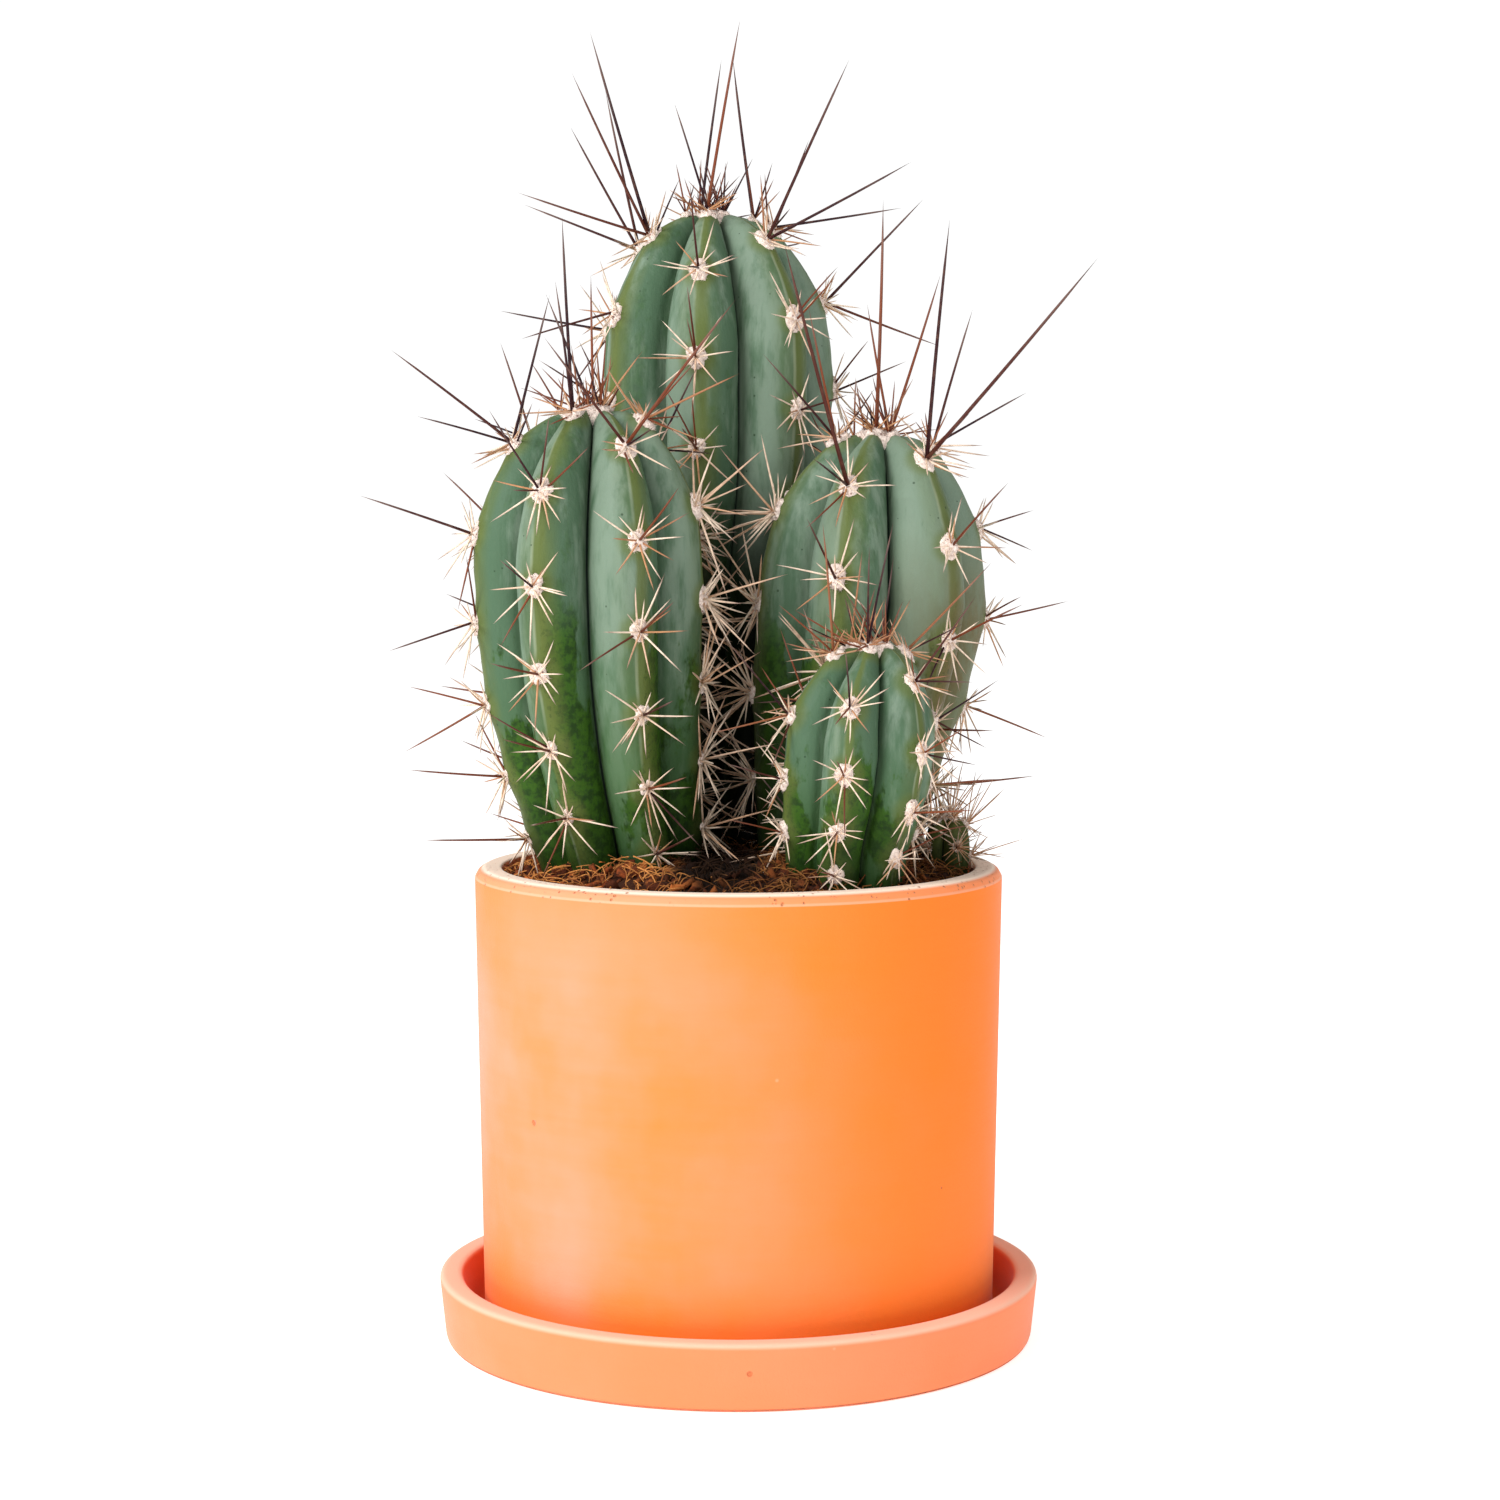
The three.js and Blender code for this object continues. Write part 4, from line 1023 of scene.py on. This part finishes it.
def soil_finish(settings):
    """Crumbs, bark chips and coir by their attribute, with painted shade in front of and between the stems
    and on the right.
    """
    f = Finish("bark_and_coir", 0.95, 0.2)
    bit, tone = f.attributes("bit", "tone")
    grain = f.noise(f.place, 900, 4, 0.65)
    bark = f.mix(f.ease(grain, 0.4, 0.7), settings.bark, "bark grain")
    bark = f.mix(f.ease(tone, 0.6, 1.0, 0.0, 0.9), bark, "bright bark")
    bark = f.mix(f.ease(tone, 0.0, 0.4, 0.92, 0.0), bark, "dark bark")
    coir = f.mix(f.ease(tone, 0.3, 1.0, 0.0, 0.85), settings.coir, "dark coir")
    f.shade = f.mix(f.ease(grain, 0.35, 0.7), settings.mix, "crumb grain")
    f.coat(bark, f.ease(bit, 0.2, 0.9))
    f.coat(coir, f.ease(bit, 1.2, 1.9))
    # painted shade where the stems shade the mix: between them at the front, and right of the middle
    from_shaded_middle = f.vector("LENGTH", f.vector("MULTIPLY_ADD", f.place, (1.0, 0.4, 0.0), (0.0045, 0.010, 0.0)))
    uneven = f.noise(f.place, 90, 2)
    painted_shade_middle = f.ease(f.linear(uneven, 0.008, from_shaded_middle), 0.014, 0.021, 0.975, 0.0)
    painted_shade_right = f.ease(f.linear(uneven, 0.016, f.split(f.place)[0]), -0.008, 0.008, 0.0, 0.6)
    f.coat("painted shade on the mix", f.math("MAXIMUM", painted_shade_middle, painted_shade_right))
    return f.done(grain, 0.0006)


# Turned pieces

TURNED_SIDES, HEAP_SIDES = 224, 160


def eased(profile, steps=5):
    """A profile of radius, height and rounding in millimetres, with its corners rounded."""
    points = []
    for k, (r, z, rounding) in enumerate(profile):
        here = np.array([r, z])
        if rounding == 0:
            points.append(here)
            continue
        before = np.array(profile[k - 1][:2]) - here
        after = np.array(profile[(k + 1) % len(profile)][:2]) - here
        start = here + before / np.linalg.norm(before) * rounding
        end = here + after / np.linalg.norm(after) * rounding
        for i in range(steps + 1):
            t = i / steps
            points.append(start * (1 - t) ** 2 + here * 2 * t * (1 - t) + end * t * t)
    return points


def turned(name, profile, sides, material, closed):
    """A turned piece: the profile runs anticlockwise, seen with the axis on its left."""
    bulk = bmesh.new()
    rings = []
    for r, z in profile:
        if r < 1e-6:
            rings.append([bulk.verts.new((0, 0, z * MM))] * sides)
            continue
        angles = (FULL_TURN * j / sides for j in range(sides))
        rings.append([bulk.verts.new((r * MM * math.cos(a), r * MM * math.sin(a), z * MM)) for a in angles])
    for low, high in zip(rings, rings[1:] + rings[:1] if closed else rings[1:]):
        for j in range(sides):
            k = (j + 1) % sides
            corners = list(dict.fromkeys((low[j], low[k], high[k], high[j])))
            if len(corners) > 2:
                bulk.faces.new(corners).smooth = True
    bmesh.ops.recalc_face_normals(bulk, faces=bulk.faces)
    mesh = bpy.data.meshes.new(name)
    bulk.to_mesh(mesh)
    bulk.free()
    mesh.materials.append(material)
    return linked(name, mesh)


class CACTUS_OT_turn_saucer(bpy.types.Operator):
    """Turn the shallow saucer with its soft lip"""

    bl_idname = "cactus.turn_saucer"
    bl_label = "Turn saucer"

    def execute(self, context):
        s = context.scene.cactus_saucer
        edge, height, floor = s.edge / MM, s.height / MM, s.floor / MM
        profile = [
            (0, 0, 0),
            (s.foot_radius / MM + 1.2, 0, 1),
            (s.wall_foot_radius / MM, edge * 0.6, 1),
            (s.lip_radius / MM, height, edge),
            (s.lip_inner_radius / MM, height, edge * 0.9),
            (s.floor_radius / MM + 0.8, floor, 3),
            (0, floor, 0),
        ]
        piece = turned("saucer_dish", eased(profile, 7), TURNED_SIDES, saucer_finish(s), False)
        settle(piece, "saucer")
        return {"FINISHED"}


class CACTUS_OT_turn_pot(bpy.types.Operator):
    """Turn the plain cylinder pot with its eased rim"""

    bl_idname = "cactus.turn_pot"
    bl_label = "Turn pot"

    def execute(self, context):
        p = context.scene.cactus_pot
        edge, rim_top, rim_edge = p.edge / MM, p.rim_top / MM, p.rim_edge / MM
        bottom = context.scene.cactus_saucer.floor / MM
        floor_top = bottom + p.floor_thickness / MM
        profile = [
            (p.drain_radius / MM, bottom, 0),
            (p.base_radius / MM, bottom, edge),
            (p.rim_radius / MM, rim_top - rim_edge, 0.3),
            (p.rim_radius / MM - rim_edge * 0.35, rim_top - rim_edge * 0.35, 0.6),
            (p.rim_radius / MM - rim_edge, rim_top, 0.5),
            (p.rim_inner_radius / MM, rim_top, 1),
            (p.floor_inner_radius / MM, floor_top, edge),
            (p.drain_radius / MM, floor_top, 0),
        ]
        piece = turned("pot_shell", eased(profile), TURNED_SIDES, pot_finish(p), True)
        settle(piece, "pot")
        return {"FINISHED"}


class CACTUS_OT_fill_pot(bpy.types.Operator):
    """Heap the potting mix in the pot, strewn with chips and fibres"""

    bl_idname = "cactus.fill_pot"
    bl_label = "Fill pot"

    def execute(self, context):
        s, p = context.scene.cactus_soil, context.scene.cactus_pot
        bottom = (context.scene.cactus_saucer.floor + p.floor_thickness) / MM
        wall = p.rim_inner_radius / MM - 0.4
        floor = p.floor_inner_radius / MM - 0.3
        step = 1.3
        rings = [wall - step * i for i in range(int(wall / step))] + [0]
        top = 1000  # marks the heap's top, far above the pot, until soil_height gives its height
        profile = [(0, bottom), (floor - 1.6, bottom), (floor, bottom + 1.9)] + [(r, top) for r in rings]
        material = soil_finish(s)
        heap = turned("soil_heap", profile, HEAP_SIDES, material, False)
        mesh = heap.data
        for vert in mesh.vertices:
            if vert.co.z > top * MM / 2:
                vert.co.z = soil_height(vert.co.x / MM, vert.co.y / MM) * MM
        bpy.data.objects.remove(heap)
        values = {"Chips": s.chips, "Fibres": s.fibres, "Material": material}
        piece = grown("potting_mix_heap", mesh, potting_mix_tree(), values)
        settle(piece, "soil")
        return {"FINISHED"}


class CACTUS_OT_grow_stems(bpy.types.Operator):
    """Grow the ribbed skin of every stem"""

    bl_idname = "cactus.grow_stems"
    bl_label = "Grow stems"

    def execute(self, context):
        s = context.scene.cactus_stems
        tree = ribbed_stem_tree()
        material = skin_finish(s)
        for node, stem in STEMS.items():
            size = stem["size"]
            rows = stem_rows(stem, s.row / MM * (0.5 if size < 0.5 else 1))
            radii, lifts = [r * MM for _, r, _ in rows], [h * MM for _, _, h in rows]
            middles = [np.array(middle) * MM for middle, _, _ in rows]
            mesh = seed_mesh(node + "_stations", middles, {"crest_radius": radii, "crest_lift": lifts})
            places = [a["at"] * MM for a in areoles_of(stem) if not a["young"]]
            buttons = linked(node + "_places", seed_mesh(node + "_places", places, {}))
            values = {
                "Ribs": stem["ribs"],
                "Facing": stem["facing"] * RAD,
                "Groove": stem["groove"],
                "Columns per Rib": s.columns,
                "Buttons": buttons,
                "Swelling": s.swell * size,
                "Swelling Width": s.swell_width * size,
                "Waviness": s.wave * size,
                "Wax": stem["wax"],
                "Crease": s.crease * size,
                "Worn Below": stem["worn_below"] * MM,
                "Material": material,
            }
            piece = grown(node + "_skin", mesh, tree, values)
            bpy.data.objects.remove(buttons)
            settle(piece, node)
        return {"FINISHED"}


class CACTUS_OT_grow_felt(bpy.types.Operator):
    """Grow a woollen button on every areole"""

    bl_idname = "cactus.grow_felt"
    bl_label = "Grow felt buttons"

    def execute(self, context):
        s = context.scene.cactus_felt
        tree = felt_tree()
        values = {"Radius": s.radius, "Height": s.height, "Hair": s.hair, "Hair Density": s.density}
        values["Material"] = felt_finish(s)
        draws = np.random.default_rng(31)
        for node, stem in STEMS.items():
            areoles = [*areoles_of(stem), crown_wool(stem)]
            grade = [stem["size"] * felt_size(a) * draws.uniform(0.9, 1.08) for a in areoles]
            places = [(a["at"] + a["out"] * 0.1 * g) * MM for a, g in zip(areoles, grade)]
            frames = {key: [a[key] for a in areoles] for key in ("out", "up")}
            mesh = seed_mesh(node + "_buttons", places, {**frames, "size": grade})
            piece = grown(node + "_felt", mesh, tree, values)
            settle(piece, node)
        return {"FINISHED"}


class CACTUS_OT_grow_spines(bpy.types.Operator):
    """Grow the spines of every stem"""

    bl_idname = "cactus.grow_spines"
    bl_label = "Grow spines"

    def execute(self, context):
        s = context.scene.cactus_spines
        tree = spines_tree()
        material = spine_finish(s)
        draws = np.random.default_rng(7)
        for node, stem in STEMS.items():
            spines = dressed_spines(node, draws)
            if not spines:
                raise RuntimeError(f"no spines were found on {node}")
            roots, reaches, tints, weathering = zip(*spines)
            reaches = np.array(reaches) * MM
            radii = s.root_radius + s.thickening * np.linalg.norm(reaches, axis=1)
            radii = np.minimum(radii, s.greatest_radius) * math.sqrt(stem["size"])
            attributes = {"reach": reaches, "radius": radii, "tint": tints, "weathering": weathering}
            mesh = seed_mesh(node + "_roots", [root * MM for root in roots], attributes)
            piece = grown(node + "_spines", mesh, tree, {"Sides": 5, "Belly": 0.5, "Material": material})
            settle(piece, node)
        return {"FINISHED"}


def soft_light(name, place, size, power):
    """A square light that points at the middle of the clump."""
    middle = Vector((0, 0, 0.17))
    light = bpy.data.lights.new(name, "AREA")
    light.shape = "SQUARE"
    light.size = size
    light.energy = power
    item = linked(name, light)
    item.location = place
    item.rotation_mode = "QUATERNION"
    item.rotation_quaternion = (middle - Vector(place)).to_track_quat("-Z", "Y")


class CACTUS_OT_set_stage(bpy.types.Operator):
    """Set the pale floor, the white surround, the soft lights and the camera"""

    bl_idname = "cactus.set_stage"
    bl_label = "Set stage"

    def execute(self, context):
        s = context.scene.cactus_stage
        scene = context.scene
        scene.view_settings.view_transform = "Standard"
        mesh = bpy.data.meshes.new("floor")
        far = 30
        corners = [(-far, -far, 0), (far, -far, 0), (far, far, 0), (-far, far, 0)]
        mesh.from_pydata(corners, [], [(0, 1, 2, 3)])
        floor = linked("floor", mesh)
        f = Finish("floor_paper", 0.9, 0.1)
        f.set("Base Color", f.mix(f.noise(f.place, 4, 2), s.floor, tuple(c * 0.985 for c in s.floor)))
        f.set("Emission Color", (1, 1, 1))
        f.set("Emission Strength", s.glow)
        mesh.materials.append(f.material)

        world = bpy.data.worlds.new("surround")
        world.use_nodes = True
        w = Nodes(world.node_tree)
        back = world.node_tree.nodes["Background"]
        w.put(back.inputs["Color"], (1, 1, 1))
        seen = w.add("ShaderNodeLightPath").outputs["Is Camera Ray"]
        strength = w.add("ShaderNodeMix", {0: seen, 2: s.sky, 3: 1.05}, data_type="FLOAT").outputs[0]
        w.put(back.inputs["Strength"], strength)
        scene.world = world

        soft_light("key", (-1.1, -1.0, 1.15), 0.9, s.key)
        soft_light("fill", (1.3, -0.8, 0.7), 1.0, s.fill)

        camera = bpy.data.cameras.new("camera")
        camera.sensor_width = 36
        camera.lens = 72
        camera.clip_start = 0.02
        scene.camera = linked("camera", camera)
        scene.camera.location = (0.00305, -0.795, 0.2155)
        tilt = 4.26  # degrees down from level
        scene.camera.rotation_euler = ((90 - tilt) * RAD, 0, 0)
        return {"FINISHED"}


class CACTUS_PT_panel(bpy.types.Panel):
    """Lists the steps that make the plant"""

    bl_label = "Potted cactus"
    bl_idname = "CACTUS_PT_panel"
    bl_space_type = "VIEW_3D"
    bl_region_type = "UI"
    bl_category = "Cactus"

    def draw(self, context):
        for step, (settings, group) in zip(STEPS, SETTINGS.items()):
            box = self.layout.box()
            box.operator(step.bl_idname)
            for name in group.__annotations__:
                box.prop(getattr(context.scene, settings), name)


# The steps in their order, and their settings in the same one
STEPS = [
    CACTUS_OT_set_stage,
    CACTUS_OT_turn_saucer,
    CACTUS_OT_turn_pot,
    CACTUS_OT_fill_pot,
    CACTUS_OT_grow_stems,
    CACTUS_OT_grow_felt,
    CACTUS_OT_grow_spines,
]
SETTINGS = {
    "cactus_stage": StageSettings,
    "cactus_saucer": SaucerSettings,
    "cactus_pot": PotSettings,
    "cactus_soil": SoilSettings,
    "cactus_stems": StemSettings,
    "cactus_felt": FeltSettings,
    "cactus_spines": SpineSettings,
}
CLASSES = [*SETTINGS.values(), *STEPS, CACTUS_PT_panel]


def register():
    for item in CLASSES:
        bpy.utils.register_class(item)
    for name, group in SETTINGS.items():
        setattr(bpy.types.Scene, name, PointerProperty(type=group))


def unregister():
    for name in SETTINGS:
        delattr(bpy.types.Scene, name)
    for item in reversed(CLASSES):
        bpy.utils.unregister_class(item)


def main():
    register()
    for step in STEPS:
        getattr(bpy.ops.cactus, step.bl_idname.partition(".")[2])()


if __name__ == "__main__":
    main()
